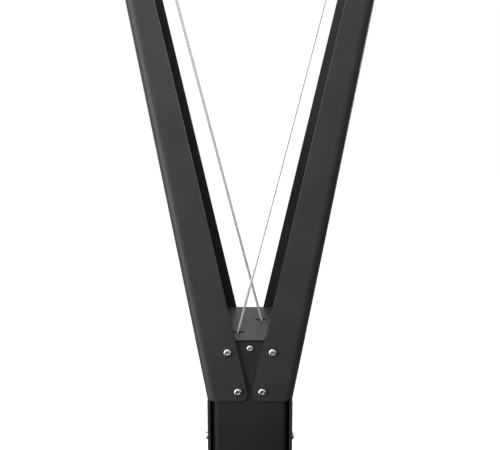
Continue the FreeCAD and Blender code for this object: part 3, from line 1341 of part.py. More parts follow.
def monitor_arm():
    """Bracket from the cover to the tilt pin: a plate, a forward tube and two ears."""
    z0 = NECK_TOP - ARM_PLATE_DROP
    z1 = z0 + ARM_PLATE_HEIGHT
    back = ARM_SHEET
    front = back - ARM_PLATE_SHEET
    plate = panel(-ARM_PLATE_HALF_WIDTH, ARM_PLATE_HALF_WIDTH, z0, z1, front, back, ARM_PLATE_HEIGHT / 6)
    wide = ARM_TUBE_WIDTH / 2
    end = PIVOT_DEPTH + LUG_RADIUS + EAR_HEIGHT / 2
    low, high = z0 + ARM_PLATE_SHEET, PIVOT_HEIGHT - ARM_TUBE_HEIGHT / 2
    outline = [(front, low), (front, low + ARM_TUBE_HEIGHT * TUBE_ROOT_SHARE)]
    outline += [(end, high + ARM_TUBE_HEIGHT), (end, high)]
    pieces = [prism([V(-wide, y, z) for y, z in outline], [0] * 4, V(2 * wide, 0, 0))]
    near, far = LUG_HALF + EAR_GAP, LUG_HALF + EAR_GAP + EAR_SHEET
    for x0, x1 in ((near, far), (-far, -near)):
        ear = box(x0, x1, PIVOT_DEPTH, end + EAR_SHEET, PIVOT_HEIGHT - EAR_HEIGHT, PIVOT_HEIGHT + EAR_HEIGHT)
        pieces += [ear, rod_x(x0, x1, PIVOT_DEPTH, PIVOT_HEIGHT, EAR_HEIGHT)]
    reach = far + OVERRUN
    holes = [rod_x(-reach, reach, PIVOT_DEPTH, PIVOT_HEIGHT, PIVOT_RADIUS + SCREW_HOLE_GAP)]
    holes += [rod_y(x, front - OVERRUN, back + OVERRUN, z, SCREW_HOLE) for x, z in monitor_screw_places()]
    return plate.fuse(pieces).cut(holes).removeSplitter()


# Floor stand, with y counted from the arms' front face like the rest

def stand_y(share_from_front):
    """Depth of a place along the platform, from 0 at its front to 1 at its rear."""
    return (share_from_front - 0.5) * PLATFORM_LENGTH - ARMS_BEHIND_CENTRE


def upright_span():
    front = ARM_DEPTH - ARM_SHEET
    return front, front + UPRIGHT_DEPTH


def stand_upright():
    """Square tube on a foot plate with two gussets, bolted behind the channel."""
    front, rear = upright_span()
    half, wall = UPRIGHT_WIDTH / 2, UPRIGHT_WALL
    foot = FOOT_HEIGHT + RAIL_HEIGHT
    low = foot + FOOT_PLATE_SHEET
    tube = slab(-half, half, front, rear, low, UPRIGHT_TOP, wall * 2)
    z0, z1 = low - OVERRUN, UPRIGHT_TOP + OVERRUN
    inside = slab(wall - half, half - wall, front + wall, rear - wall, z0, z1, wall)
    middle, wide, deep = (front + rear) / 2, FOOT_PLATE_WIDTH / 2, FOOT_PLATE_DEPTH / 2
    pieces = [slab(-wide, wide, middle - deep, middle + deep, foot, low, FOOT_PLATE_SHEET)]
    for side in (-1, 1):
        reach = wide * GUSSET_REACH_SHARE
        outline = [(side * half, low), (side * reach, low), (side * half, low + GUSSET_HEIGHT)]
        points = [V(x, middle - GUSSET_SHEET / 2, z) for x, z in outline]
        pieces.append(prism(points, [0] * 3, V(0, GUSSET_SHEET, 0)))
    y0, y1 = front - OVERRUN, front + wall + OVERRUN
    holes = [rod_y(x, y0, y1, z, BOLT_HOLE) for x, z in stand_bolt_places()]
    holes += [rod_z(x, y, foot - OVERRUN, low + OVERRUN, BOLT_HOLE) for x, y in foot_bolt_places()]
    return tube.cut(inside).fuse(pieces).cut(holes).removeSplitter()


def upright_cap():
    """Plastic plug on the open top of the upright."""
    front, rear = upright_span()
    half = UPRIGHT_WIDTH / 2
    cap = slab(-half, half, front, rear, UPRIGHT_TOP, UPRIGHT_TOP + UPRIGHT_CAP, UPRIGHT_CAP)
    inset = UPRIGHT_WALL + SEAT_GAP
    low = UPRIGHT_TOP - 2 * UPRIGHT_CAP
    plug = slab(inset - half, half - inset, front + inset, rear - inset, low, UPRIGHT_TOP, UPRIGHT_WALL)
    return cap.fuse(plug)


def foot_bolt_places():
    front, rear = upright_span()
    middle = (front + rear) / 2
    across, along = FOOT_PLATE_WIDTH * FOOT_BOLT_ACROSS_SHARE, FOOT_PLATE_DEPTH * FOOT_BOLT_ALONG_SHARE
    for x in (-across, across):
        for y in (middle - along, middle + along):
            yield x, y


def hollow_bar(x0, x1, y0, y1, z0, z1, wall, along_x):
    bar = box(x0, x1, y0, y1, z0, z1)
    if along_x:
        inner = box(x0 - OVERRUN, x1 + OVERRUN, y0 + wall, y1 - wall, z0 + wall, z1 - wall)
    else:
        inner = box(x0 + wall, x1 - wall, y0 - OVERRUN, y1 + OVERRUN, z0 + wall, z1 - wall)
    return bar.cut(inner)


def rail_x():
    return PLATFORM_WIDTH / 2 - RAIL_WIDTH / 2


def rail_span():
    return stand_y(0) + RAIL_FRONT_MARGIN, stand_y(1) - RAIL_REAR_MARGIN


def wheel_x():
    """Wheels sit so that their axles' heads stay within the platform's width."""
    return PLATFORM_WIDTH / 2 - WHEEL_WIDTH / 2 - WHEEL_SIDE_GAP - WHEEL_TAB - WHEEL_HEAD


def platform_frame():
    """Two rails with the wheels' tabs, a front tie, and the rear beam that carries the upright."""
    y0, y1 = rail_span()
    z0, z1 = FOOT_HEIGHT, FOOT_HEIGHT + RAIL_HEIGHT
    bars = []
    wheel_y, wheel_z = wheel_centre()
    half = RAIL_WIDTH / 2
    for side in (-1, 1):
        x = side * rail_x()
        rail = hollow_bar(x - half, x + half, y0, y1, z0, z1, RAIL_WALL, False)
        pieces = [box(x - half, x + half, y1, y1 + WHEEL_TAB, z0, z1)]
        x = side * wheel_x()
        near, far = WHEEL_WIDTH / 2 + WHEEL_SIDE_GAP, WHEEL_WIDTH / 2 + WHEEL_SIDE_GAP + WHEEL_TAB
        for x0, x1 in ((x + near, x + far), (x - far, x - near)):
            pieces.append(box(x0, x1, y1, wheel_y, wheel_z - WHEEL_HUB, wheel_z + WHEEL_HUB))
            pieces.append(rod_x(x0, x1, wheel_y, wheel_z, WHEEL_HUB))
        hole = rod_x(x - RAIL_WIDTH, x + RAIL_WIDTH, wheel_y, wheel_z, AXLE_HOLE)
        bars.append(rail.fuse(pieces).cut(hole).removeSplitter())
    inner = rail_x() - half
    bars.append(hollow_bar(-inner, inner, y0, y0 + RAIL_WIDTH, z0, z1, RAIL_WALL, True))
    front, rear = upright_span()
    middle, half = (front + rear) / 2, BEAM_DEPTH / 2
    beam = hollow_bar(-inner, inner, middle - half, middle + half, z0, z1, RAIL_WALL, True)
    low = z1 - RAIL_WALL - OVERRUN
    holes = [rod_z(x, y, low, z1 + OVERRUN, BOLT_HOLE) for x, y in foot_bolt_places()]
    bars.append(beam.cut(holes))
    return bars


def foot_deck():
    half = PLATFORM_WIDTH / 2
    z0 = FOOT_HEIGHT + RAIL_HEIGHT
    deck = slab(-half, half, stand_y(0), stand_y(0) + DECK_LENGTH, z0, z0 + DECK_SHEET, DECK_CORNER)
    edges = [edge for edge in deck.Edges if edge.CenterOfMass.z > z0 + DECK_SHEET - SEAT_GAP]
    return deck.makeFillet(DECK_EDGE, edges)


def tread_pads():
    """Two rubber mats with raised bars across, one under each foot."""
    z0 = FOOT_HEIGHT + RAIL_HEIGHT + DECK_SHEET
    y0 = stand_y(0) + (DECK_LENGTH - TREAD_LENGTH) / 2
    z1 = z0 + TREAD_SHEET
    pitch = (TREAD_LENGTH - 2 * TREAD_CORNER - TREAD_BAR_WIDTH) / (TREAD_BARS - 1)
    pads = []
    for side in (-1, 1):
        x = side * TREAD_OFFSET
        half = TREAD_WIDTH / 2
        pad = slab(x - half, x + half, y0, y0 + TREAD_LENGTH, z0, z1, TREAD_CORNER)
        reach = half - TREAD_MARGIN
        bars = []
        for index in range(TREAD_BARS):
            y = y0 + TREAD_CORNER + index * pitch
            bars.append(box(x - reach, x + reach, y, y + TREAD_BAR_WIDTH, z1, z1 + TREAD_BAR_HEIGHT))
        pads.append(pad.fuse(bars))
    return pads


def rubber_feet():
    """Six turned feet under the rails, and two plugs in the rails' front ends."""
    y0, y1 = rail_span()
    x = PLATFORM_WIDTH / 2 - FOOT_RADIUS
    profile = [(0, 0)]
    profile += [(FOOT_RADIUS * radial, FOOT_HEIGHT * along) for radial, along in FOOT_PROFILE_SHARES]
    profile.append((0, FOOT_HEIGHT))
    feet = [
        turned(profile, V(side * x, y, 0), Z_AXIS)
        for side in (-1, 1) for y in (y0 + FOOT_INSET, (y0 + y1) / 2, y1 - FOOT_INSET)
    ]
    low, high = FOOT_HEIGHT, FOOT_HEIGHT + RAIL_HEIGHT - SEAT_GAP
    inset = RAIL_WALL + SEAT_GAP
    half = RAIL_WIDTH / 2
    for side in (-1, 1):
        x = side * rail_x()
        plug = box(x - half, x + half, y0 - PLUG_HEAD, y0, low, high)
        stem = box(x - half + inset, x + half - inset, y0, y0 + PLUG_STEM, low + inset, high - RAIL_WALL)
        feet.append(plug.fuse(stem))
    return feet


def wheel_centre():
    return stand_y(1) - WHEEL_RADIUS, WHEEL_RADIUS + WHEEL_FLOOR_GAP


def transport_wheel(side):
    """Moulded wheel with a raised tyre and a thin web between it and the hub."""
    y, z = wheel_centre()
    half, bore = WHEEL_WIDTH / 2, AXLE_RADIUS + SHEAVE_BORE_GAP
    tyre, bevel = WHEEL_RADIUS * TYRE_SHARE, half / 3
    near = [(bore, -half), (WHEEL_HUB, -half), (WHEEL_HUB, -half / 2), (tyre, -half / 2), (tyre, -half)]
    near += [(WHEEL_RADIUS - bevel, -half), (WHEEL_RADIUS, -half / 2)]
    far = [(radius, -along) for radius, along in reversed(near)]
    return turned(near + far, V(side * wheel_x(), y, z), X_AXIS)


def hex_bolt(place, direction, length):
    """Bolt with a hexagon head; the place is under its head."""
    head = hexagon(STAND_BOLT_HEAD, STAND_BOLT_HEAD_HEIGHT)
    head.translate(V(0, 0, -STAND_BOLT_HEAD_HEIGHT))
    bolt = head.fuse(rod_z(0, 0, 0, length, STAND_BOLT_RADIUS)).removeSplitter()
    bolt.Placement = FreeCAD.Placement(place, FreeCAD.Rotation(Z_AXIS, direction))
    return bolt


def stand_bolts():
    """Bolts of the channel and of the foot plate, and the wheels' axles."""
    bolts = []
    inside = ARM_DEPTH - ARM_SHEET - CHANNEL_WALL
    for x, z in stand_bolt_places():
        bolts.append(hex_bolt(V(x, inside, z), Y_AXIS, CHANNEL_WALL + 2 * UPRIGHT_WALL))
    top = FOOT_HEIGHT + RAIL_HEIGHT + FOOT_PLATE_SHEET
    for x, y in foot_bolt_places():
        bolts.append(hex_bolt(V(x, y, top), -Z_AXIS, FOOT_PLATE_SHEET + 2 * RAIL_WALL))
    y, z = wheel_centre()
    reach = WHEEL_WIDTH / 2 + WHEEL_SIDE_GAP + WHEEL_TAB
    for side in (-1, 1):
        x = side * wheel_x()
        bolts.append(axle_bolt(V(x - reach, y, z), V(x + reach, y, z), AXLE_RADIUS, WHEEL_HEAD))
    return bolts


# Writing the pieces

def write(node, shape):
    solids = shape if isinstance(shape, list) else [shape]
    moved = []
    for solid in solids:
        solid = solid.copy()
        solid.translate(V(0, ARMS_BEHIND_CENTRE, 0))
        moved.append(solid)
    whole = moved[0] if len(moved) == 1 else Part.makeCompound(moved)
    whole.exportStep("parts/" + node + ".step")


def write_pair(name, shape):
    """A piece of the right side and its mirror image on the left."""
    write("right_" + name, shape)
    write("left_" + name, mirrored(shape))


def main():
    os.makedirs("parts", exist_ok=True)
    print("drive cord bends:", [round(bend, 1) for bend in drive_bends()], "mm")
    print("shock cord bends:", [round(bend, 1) for bend in shock_bends()], "mm")
    write("frame_channel", frame_channel())
    write("front_cover", front_cover())
    write("neck_cap", neck_cap())
    write("socket_screws", socket_screws())
    write_pair("arm", right_arm())
    write_pair("head", right_head())
    write_pair("top_sheave", right_top_sheave())
    guide = right_cord_guide()
    write("cord_guides", [guide, mirrored(guide)])
    write("axle_bolts", axle_bolts())
    write_pair("stop_ball", right_stop_ball())
    write_pair("pull_cord", right_pull_cord())
    write_pair("handle", right_handle())
    write_pair("grip", right_grip())
    write_pair("hand_strap", right_hand_strap())
    write("drive_cords", [drive_cord(0), drive_cord(1)])
    write("front_slot_roller", slot_roller(0))
    write("rear_slot_roller", slot_roller(1))
    write("pulley_brackets", [roller_bracket()] + return_bracket())
    for name, start, depth in zip(("front", "rear"), spool_starts(), return_depths()):
        write(name + "_spool", spool(start))
        write(name + "_clutch", clutch(start))
        write(name + "_return_sheave", return_sheave(depth))
    write("shock_cords", [shock_cord(depth) for depth in return_depths()])
    write("flywheel_shaft", flywheel_shaft())
    write("shaft_bearings", [bearing(front) for front in bearing_fronts()])
    write("bearing_plates", bearing_plates())
    write("fan_wheel", fan_wheel())
    write("housing_back", housing_back())
    write("housing_rim", housing_rim())
    write("housing_front", housing_front())
    write("inlet_grille", inlet_grille())
    write("damper_ring", damper_ring())
    write("speed_sensor", speed_sensor())
    write("monitor_arm", monitor_arm())
    write("monitor_back", monitor_back())
    write("monitor_bezel", monitor_bezel())
    write("monitor_screen", monitor_screen())
    for index in range(BUTTON_COUNT):
        write("menu_button_%d" % (index + 1), menu_button(index))
    write("stand_upright", stand_upright())
    write("upright_cap", upright_cap())
    write("platform_frame", platform_frame())
    write("foot_deck", foot_deck())
    write("tread_pads", tread_pads())
    write("rubber_feet", rubber_feet())
    write("right_wheel", transport_wheel(1))
    write("left_wheel", transport_wheel(-1))
    write("stand_bolts", stand_bolts())


main()
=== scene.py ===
import bpy
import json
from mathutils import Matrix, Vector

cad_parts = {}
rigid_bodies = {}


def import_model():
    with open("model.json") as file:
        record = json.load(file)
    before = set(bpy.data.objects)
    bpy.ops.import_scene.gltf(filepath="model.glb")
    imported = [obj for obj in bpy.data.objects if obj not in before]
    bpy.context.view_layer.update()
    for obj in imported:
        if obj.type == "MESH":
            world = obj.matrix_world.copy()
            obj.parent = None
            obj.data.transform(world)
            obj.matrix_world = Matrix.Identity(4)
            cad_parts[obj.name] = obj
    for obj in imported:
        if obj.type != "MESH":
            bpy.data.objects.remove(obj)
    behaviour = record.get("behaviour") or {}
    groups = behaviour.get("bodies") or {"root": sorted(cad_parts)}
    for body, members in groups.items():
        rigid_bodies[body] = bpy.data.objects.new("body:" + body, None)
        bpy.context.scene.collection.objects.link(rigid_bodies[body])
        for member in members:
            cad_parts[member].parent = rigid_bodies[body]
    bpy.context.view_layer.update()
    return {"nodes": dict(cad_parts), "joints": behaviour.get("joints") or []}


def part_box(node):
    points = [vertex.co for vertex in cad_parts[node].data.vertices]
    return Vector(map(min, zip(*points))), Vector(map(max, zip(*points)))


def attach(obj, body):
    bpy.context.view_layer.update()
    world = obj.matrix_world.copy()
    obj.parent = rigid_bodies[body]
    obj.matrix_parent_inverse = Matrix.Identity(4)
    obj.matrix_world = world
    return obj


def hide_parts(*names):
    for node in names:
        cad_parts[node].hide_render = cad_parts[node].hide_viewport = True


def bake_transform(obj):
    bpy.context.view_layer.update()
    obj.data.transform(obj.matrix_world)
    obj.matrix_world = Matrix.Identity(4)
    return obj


for leftover in list(bpy.data.objects):
    bpy.data.objects.remove(leftover)
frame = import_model()

import json
import math

import bmesh
from mathutils import Matrix, Vector

# Looks of the ski ergometer, in metres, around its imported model.
# The arms' front faces lie in the plane y = ARMS_FRONT, and the neck's top plate at z = NECK_TOP.

bl_info = {
    "name": "Ski ergometer",
    "version": (1, 0, 0),
    "blender": (4, 5, 0),
    "location": "View3D > Sidebar > Ski ergometer",
    "description": "Dresses the ski ergometer's model with its finishes, cords, straps and fasteners",
    "category": "Object",
}

MM = 0.001
WHITE = (1, 1, 1, 1)
QUARTER_TURN = math.pi / 2
SIDES = ("right", "left")
NODES = frame["nodes"]
RECORD_JOINTS = {joint["name"]: joint for joint in frame["joints"]}

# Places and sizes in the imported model
ARMS_FRONT = 330 * MM
NECK_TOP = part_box("neck_cap")[1].z
REAR_CORD = 400 * MM
MONITOR_LEAN = math.radians(15)
WINDOW_RAISE = 20 * MM
BOARD_BEHIND = 7 * MM
FOOT_PLATE = 8 * MM
LEVER_REST = math.radians(21)

# Limits for picking and merging parts of a mesh
MERGE_DISTANCE = 1e-6
ASIDE = 0.01 * MM
FACING = 0.9

# Shaders
WAVE_PERIOD = math.tau / 20
SHADE = 0.12

# Camera, floor and lights; each light has its place, and its width and height
SENSOR_WIDTH = 36.0
CLIP_RANGE = (0.05, 60.0)
FLOOR_SIZE = 14
FLOOR_FADE = (0.9, 2.2)
AIM_ABOVE_NECK = 0.1
LIGHTS = {
    "key": ((-0.3, -0.45, 2.35), (0.6, 0.4)),
    "side": ((-1.45, -0.4, 1.35), (0.7, 1.9)),
    "back": ((1.6, 2.4, 1.7), (1.0, 1.6)),
}

# Pull cords
CORD_RINGS = 40
CORD_SIDES = 20
INSIDE_GUIDE = 2 * MM
INSIDE_BALL = 1 * MM

# Hand straps, whose layers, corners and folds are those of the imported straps
STRAP_LAYER = 2.4 * MM
FOLD_MIDDLE = 1.5 * STRAP_LAYER
STRAP_CORNER = 20 * MM
STRAP_FOLD = 8 * MM
FOLD_TUCK = 1 * MM
FOLD_STEPS = 8
FOLD_CUTS = 3
CORNER_STEPS = 12
BOW_STEPS = 16
BAND_CUTS = 3
SELVAGE_SHARE = 0.3
THREAD_RADIUS = 0.4 * MM
THREAD_FLATNESS = 0.7
STITCH_PITCH_SHARE = 1.35
SEAM_MARGIN = 3 * MM
SEAM_INSET = 2.4 * MM

# Screws, with shares of the head's height or radius
SHANK = 4 * MM
HOUSING_SCREWS = 6
HEAD_SIDES = 48
HEAD_EDGE = 0.15 * MM
DOME_STEPS = 6
DOME_SHARE = 0.8
SHANK_INSET_SHARE = 0.6
SOCKET_HEIGHT_SHARE = 1.3
RIM_SHARE = 0.9

# Damper scale and display, with shares of a figure's height or a segment's half width
INK = 0.12 * MM
TICK_RADIUS = 184 * MM
TICK_LENGTH = 5 * MM
TICK_WIDTH = 1 * MM
DISPLAY_ROWS = (
    ("0:00", 0, 13 * MM, "digit"),
    ("000", -33 * MM, -20 * MM, "small_digit"),
    ("00", 34 * MM, -20 * MM, "small_digit"),
)
PITCH_SHARES = {":": 0.3, "0": 0.72}
COLON_SHARE = 0.2
DIGIT_WIDTH_SHARE = 0.46
SEGMENT_SHARE = 0.05
SEGMENT_GAP_SHARE = 1.6

# Weld at the upright's foot
BEAD_PITCH = 3.4 * MM
BEAD_RADIUS = 4 * MM
BEAD_SHAPE = (0.75, 1, 0.9)
BEAD_RAISE = 0.5 * MM


# Colours and nodes

def colour(code):
    """Linear colour from an sRGB hex code such as 1A2B3C; a colour that is linear already stays as it is."""
    if not isinstance(code, str):
        return tuple(code)
    channels = [int(code[i:i + 2], 16) / 255 for i in (0, 2, 4)]
    linear = [c / 12.92 if c <= 0.04045 else ((c + 0.055) / 1.055) ** 2.4 for c in channels]
    return (*linear, 1.0)


def shades(name):
    """Darker and lighter shade of one of the colours that a user may change."""
    base = getattr(bpy.context.scene.ergometer_colours, name)
    return [(*(share * channel for channel in base), 1.0) for share in (1 - SHADE, 1 + SHADE)]


def add(tree, kind, inputs=None, **settings):
    """Adds a node; an input that is a socket is linked, and any other is set."""
    node = tree.nodes.new(kind)
    for name, value in settings.items():
        setattr(node, name, value)
    for key, value in (inputs or {}).items():
        if isinstance(value, bpy.types.NodeSocket):
            tree.links.new(value, node.inputs[key])
        else:
            node.inputs[key].default_value = value
    return node


def new_material(name, base, roughness, metallic=0.0, specular=0.5):
    """A named material with a plain shader, for the finish to build on."""
    material = bpy.data.materials.new(name)
    material.use_nodes = True
    tree = material.node_tree
    shader = tree.nodes["Principled BSDF"]
    shader.inputs["Base Color"].default_value = colour(base)
    shader.inputs["Roughness"].default_value = roughness
    shader.inputs["Metallic"].default_value = metallic
    shader.inputs["Specular IOR Level"].default_value = specular
    material.diffuse_color = colour(base)
    return material, tree, shader


def at_scale(tree, size, stretch=(1, 1, 1), centre=(0, 0, 0), turn=(0, 0, 0)):
    """Object coordinates counted in cells of the given size in millimetres."""
    coordinates = add(tree, "ShaderNodeTexCoord")
    placed = add(tree, "ShaderNodeMapping", {
        "Vector": coordinates.outputs["Object"], "Location": centre, "Rotation": turn,
    }, vector_type="TEXTURE")
    factor = 1 / (size * MM)
    return add(tree, "ShaderNodeMapping", {
        "Vector": placed.outputs["Vector"], "Scale": tuple(factor * share for share in stretch),
    }).outputs["Vector"]


def grain(tree, size, detail=2.0, roughness=0.55, **place):
    """Noise whose lumps are about the given size in millimetres."""
    return add(tree, "ShaderNodeTexNoise", {
        "Vector": at_scale(tree, size, **place), "Scale": 1.0, "Detail": detail, "Roughness": roughness,
    }).outputs["Fac"]


def square_cells(tree, size):
    """Distance from the middles of square cells of the given size in millimetres."""
    return add(tree, "ShaderNodeTexVoronoi", {
        "Vector": at_scale(tree, size), "Scale": 1.0, "Randomness": 0.0,
    }, feature="F1", distance="CHEBYCHEV").outputs["Distance"]


def combined(tree, operation, first, second):
    """Two values combined by an operation."""
    return add(tree, "ShaderNodeMath", {0: first, 1: second}, operation=operation).outputs["Value"]


def between(tree, value, low=0, high=1, source=(0.3, 0.7)):
    """Maps a value from the source range to low and high."""
    return add(tree, "ShaderNodeMapRange", {
        "Value": value, "From Min": source[0], "From Max": source[1], "To Min": low, "To Max": high,
    }).outputs["Result"]


def tinted(tree, shader, value, dark, light):
    """Colours the surface between two hex codes by a value from 0 to 1."""
    mix = add(tree, "ShaderNodeMix", {
        "Factor": value, "A": colour(dark), "B": colour(light),
    }, data_type="RGBA")
    tree.links.new(mix.outputs["Result"], shader.inputs["Base Color"])


def raised(tree, shader, height, depth, edge=0.0, strength=1.0):
    """Bumps the surface by a height from 0 to 1, to a depth in millimetres, and rounds its edges."""
    bump = add(tree, "ShaderNodeBump", {"Height": height, "Distance": depth * MM, "Strength": strength})
    if edge:
        rim = add(tree, "ShaderNodeBevel", {"Radius": edge * MM}, samples=6)
        tree.links.new(rim.outputs["Normal"], bump.inputs["Normal"])
    tree.links.new(bump.outputs["Normal"], shader.inputs["Normal"])


# Finishes

def glossed(tree, shader, value, low, high):
    """Varies the surface's roughness between two values."""
    tree.links.new(between(tree, value, low, high), shader.inputs["Roughness"])


def powder_coat(name, dark, light, roughness=0.46):
    """Powder-coated steel, baked: a satin skin with a soft orange peel and a finer speckle in its gloss."""
    material, tree, shader = new_material(name, light, roughness, specular=0.22)
    tinted(tree, shader, between(tree, grain(tree, 60, detail=3.0)), dark, light)
    glossed(tree, shader, grain(tree, 0.45), roughness - 0.05, roughness + 0.07)
    raised(tree, shader, grain(tree, 1.1, detail=1.0), 0.03, edge=0.7)
    return material


def moulded(name, dark, light, roughness=0.5, texture=0.4, depth=0.03):
    """Injection-moulded plastic: a spark-eroded grain from the mould, even in colour."""
    material, tree, shader = new_material(name, light, roughness, specular=0.25)
    erosion = grain(tree, texture, detail=3.0)
    tinted(tree, shader, between(tree, grain(tree, 45)), dark, light)
    glossed(tree, shader, erosion, roughness - 0.04, roughness + 0.08)
    raised(tree, shader, erosion, depth, edge=0.6)
    return material


def plain_skin(name, base, matte, size, depth, detail=3.0, tones=None, gloss=None, edge=0.0,
               metallic=0.0, specular=0.5, **noise):
    """A skin of one grain, which carries the relief and, where they are given, the tones and the gloss."""
    material, tree, shader = new_material(name, base, matte, metallic, specular)
    lumps = grain(tree, size, detail, **noise)
    if tones:
        tinted(tree, shader, between(tree, lumps), *tones)
    if gloss:
        glossed(tree, shader, lumps, *gloss)
    raised(tree, shader, lumps, depth, edge=edge)
    return material


def spun_alloy(name):
    """Aluminium spun on a former: fine rings round the fan's axle, and a soft streaked shine."""
    material, tree, shader = new_material(name, "A5A8AB", 0.36, metallic=1.0)
    low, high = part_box("fan_wheel")
    middle = (low + high) / 2
    place = at_scale(tree, 1000, centre=tuple(middle))
    parts = add(tree, "ShaderNodeSeparateXYZ", {"Vector": place})
    across = add(tree, "ShaderNodeCombineXYZ", {"X": parts.outputs["X"], "Y": parts.outputs["Z"]})
    radius = add(tree, "ShaderNodeVectorMath", {0: across.outputs["Vector"]}, operation="LENGTH")
    rings = add(tree, "ShaderNodeTexNoise", {
        "W": radius.outputs["Value"], "Scale": 900.0, "Detail": 2.0,
    }, noise_dimensions="1D").outputs["Fac"]
    glossed(tree, shader, rings, 0.3, 0.44)
    raised(tree, shader, rings, 0.02, edge=0.5)
    return material


def braid(name, dark, light, pitch):
    """Braided polyester cord: strands cross in a fine diamond, with a slight fuzz."""
    material, tree, shader = new_material(name, light, 0.75, specular=0.3)
    waves = []
    for lean in (-1, 1):
        turned_place = at_scale(tree, pitch, turn=(0, lean * math.radians(38), lean * math.radians(20)))
        waves.append(add(tree, "ShaderNodeTexWave", {
            "Vector": turned_place, "Scale": 0.5, "Distortion": 0.6, "Detail": 1.0,
        }, bands_direction="Z").outputs["Fac"])
    height = combined(tree, "ADD", combined(tree, "MULTIPLY", *waves), grain(tree, 0.5))
    tinted(tree, shader, between(tree, height, source=(0.35, 1.1)), dark, light)
    raised(tree, shader, height, 0.12)
    shader.inputs["Sheen Weight"].default_value = 0.3
    return material


def soft_rubber(name, dark, light, texture=0.7, depth=0.05):
    """Moulded rubber: matte and slightly dusty, with no sharp reflections."""
    material, tree, shader = new_material(name, light, 0.78, specular=0.35)
    skin = grain(tree, texture, detail=3.0)
    dust = grain(tree, 25, detail=4.0)
    tinted(tree, shader, between(tree, dust), dark, light)
    glossed(tree, shader, dust, 0.7, 0.86)
    raised(tree, shader, skin, depth, edge=0.5)
    return material


def gripped_rubber(name):
    """Grip rubber with a moulded diamond pattern, 3 mm from diamond to diamond."""
    material, tree, shader = new_material(name, "1C1C1D", 0.72, specular=0.35)
    skin = grain(tree, 0.6)
    height = combined(tree, "ADD", square_cells(tree, 3.0), skin)
    tinted(tree, shader, between(tree, skin), "171718", "222223")
    raised(tree, shader, height, 0.25)
    return material


def webbing(name):
    """Nylon webbing: flat ribs of yarn along the band, 1.8 mm apart, crossed by a finer weft."""
    material, tree, shader = new_material(name, "1F1F20", 0.62, specular=0.4)
    uv = add(tree, "ShaderNodeUVMap", uv_map="band")
    ribs = {}
    for direction, spacing, drift in (("X", 1.8, 0.0), ("Y", 0.9, 0.4)):
        ribs[direction] = add(tree, "ShaderNodeTexWave", {
            "Vector": uv.outputs["UV"], "Scale": WAVE_PERIOD / (spacing * MM), "Distortion": drift,
        }, bands_direction=direction).outputs["Fac"]
    height = combined(tree, "MULTIPLY", ribs["X"], ribs["Y"])
    tinted(tree, shader, height, "151516", "313133")
    raised(tree, shader, height, 0.3)
    shader.inputs["Sheen Weight"].default_value = 0.4
    return material


def deck_board(name):
    """Moulded deck board: black with a pebbled anti-slip texture of about 2.5 mm."""
    material, tree, shader = new_material(name, "232425", 0.6)
    pebbles = add(tree, "ShaderNodeTexVoronoi", {
        "Vector": at_scale(tree, 2.5), "Scale": 1.0,
    }, feature="SMOOTH_F1").outputs["Distance"]
    cloud = grain(tree, 80, detail=4.0)
    tinted(tree, shader, between(tree, cloud), "1F2021", "292A2B")
    glossed(tree, shader, cloud, 0.55, 0.7)
    raised(tree, shader, combined(tree, "SUBTRACT", 1.0, pebbles), 0.35, edge=1.2)
    return material


def window_glass(name):
    """Display film under a clear acrylic window: grey-green cells below a plain gloss."""
    material, tree, shader = new_material(name, "8E968A", 0.35)
    cells = square_cells(tree, 0.8)
    tinted(tree, shader, between(tree, cells, source=(0.0, 0.6)), "858E81", "979F93")
    shader.inputs["Coat Weight"].default_value = 1.0
    shader.inputs["Coat Roughness"].default_value = 0.05
    raised(tree, shader, cells, 0.01)
    return material


def solder_mask(name):
    """Circuit board: glossy green lacquer over the copper's faint relief."""
    material, tree, shader = new_material(name, "1F4A33", 0.25)
    tracks = add(tree, "ShaderNodeTexBrick", {
        "Vector": at_scale(tree, 4.0), "Scale": 1.0, "Mortar Size": 0.06,
    }).outputs["Fac"]
    tinted(tree, shader, tracks, "1C4530", "2B5E44")
    raised(tree, shader, tracks, 0.05)
    return material


MADE = {}


def material_of(finish):
    """The finish's material, made once and shared."""
    if finish not in MADE:
        MADE[finish] = FINISH_MAKERS[finish]()
    return MADE[finish]


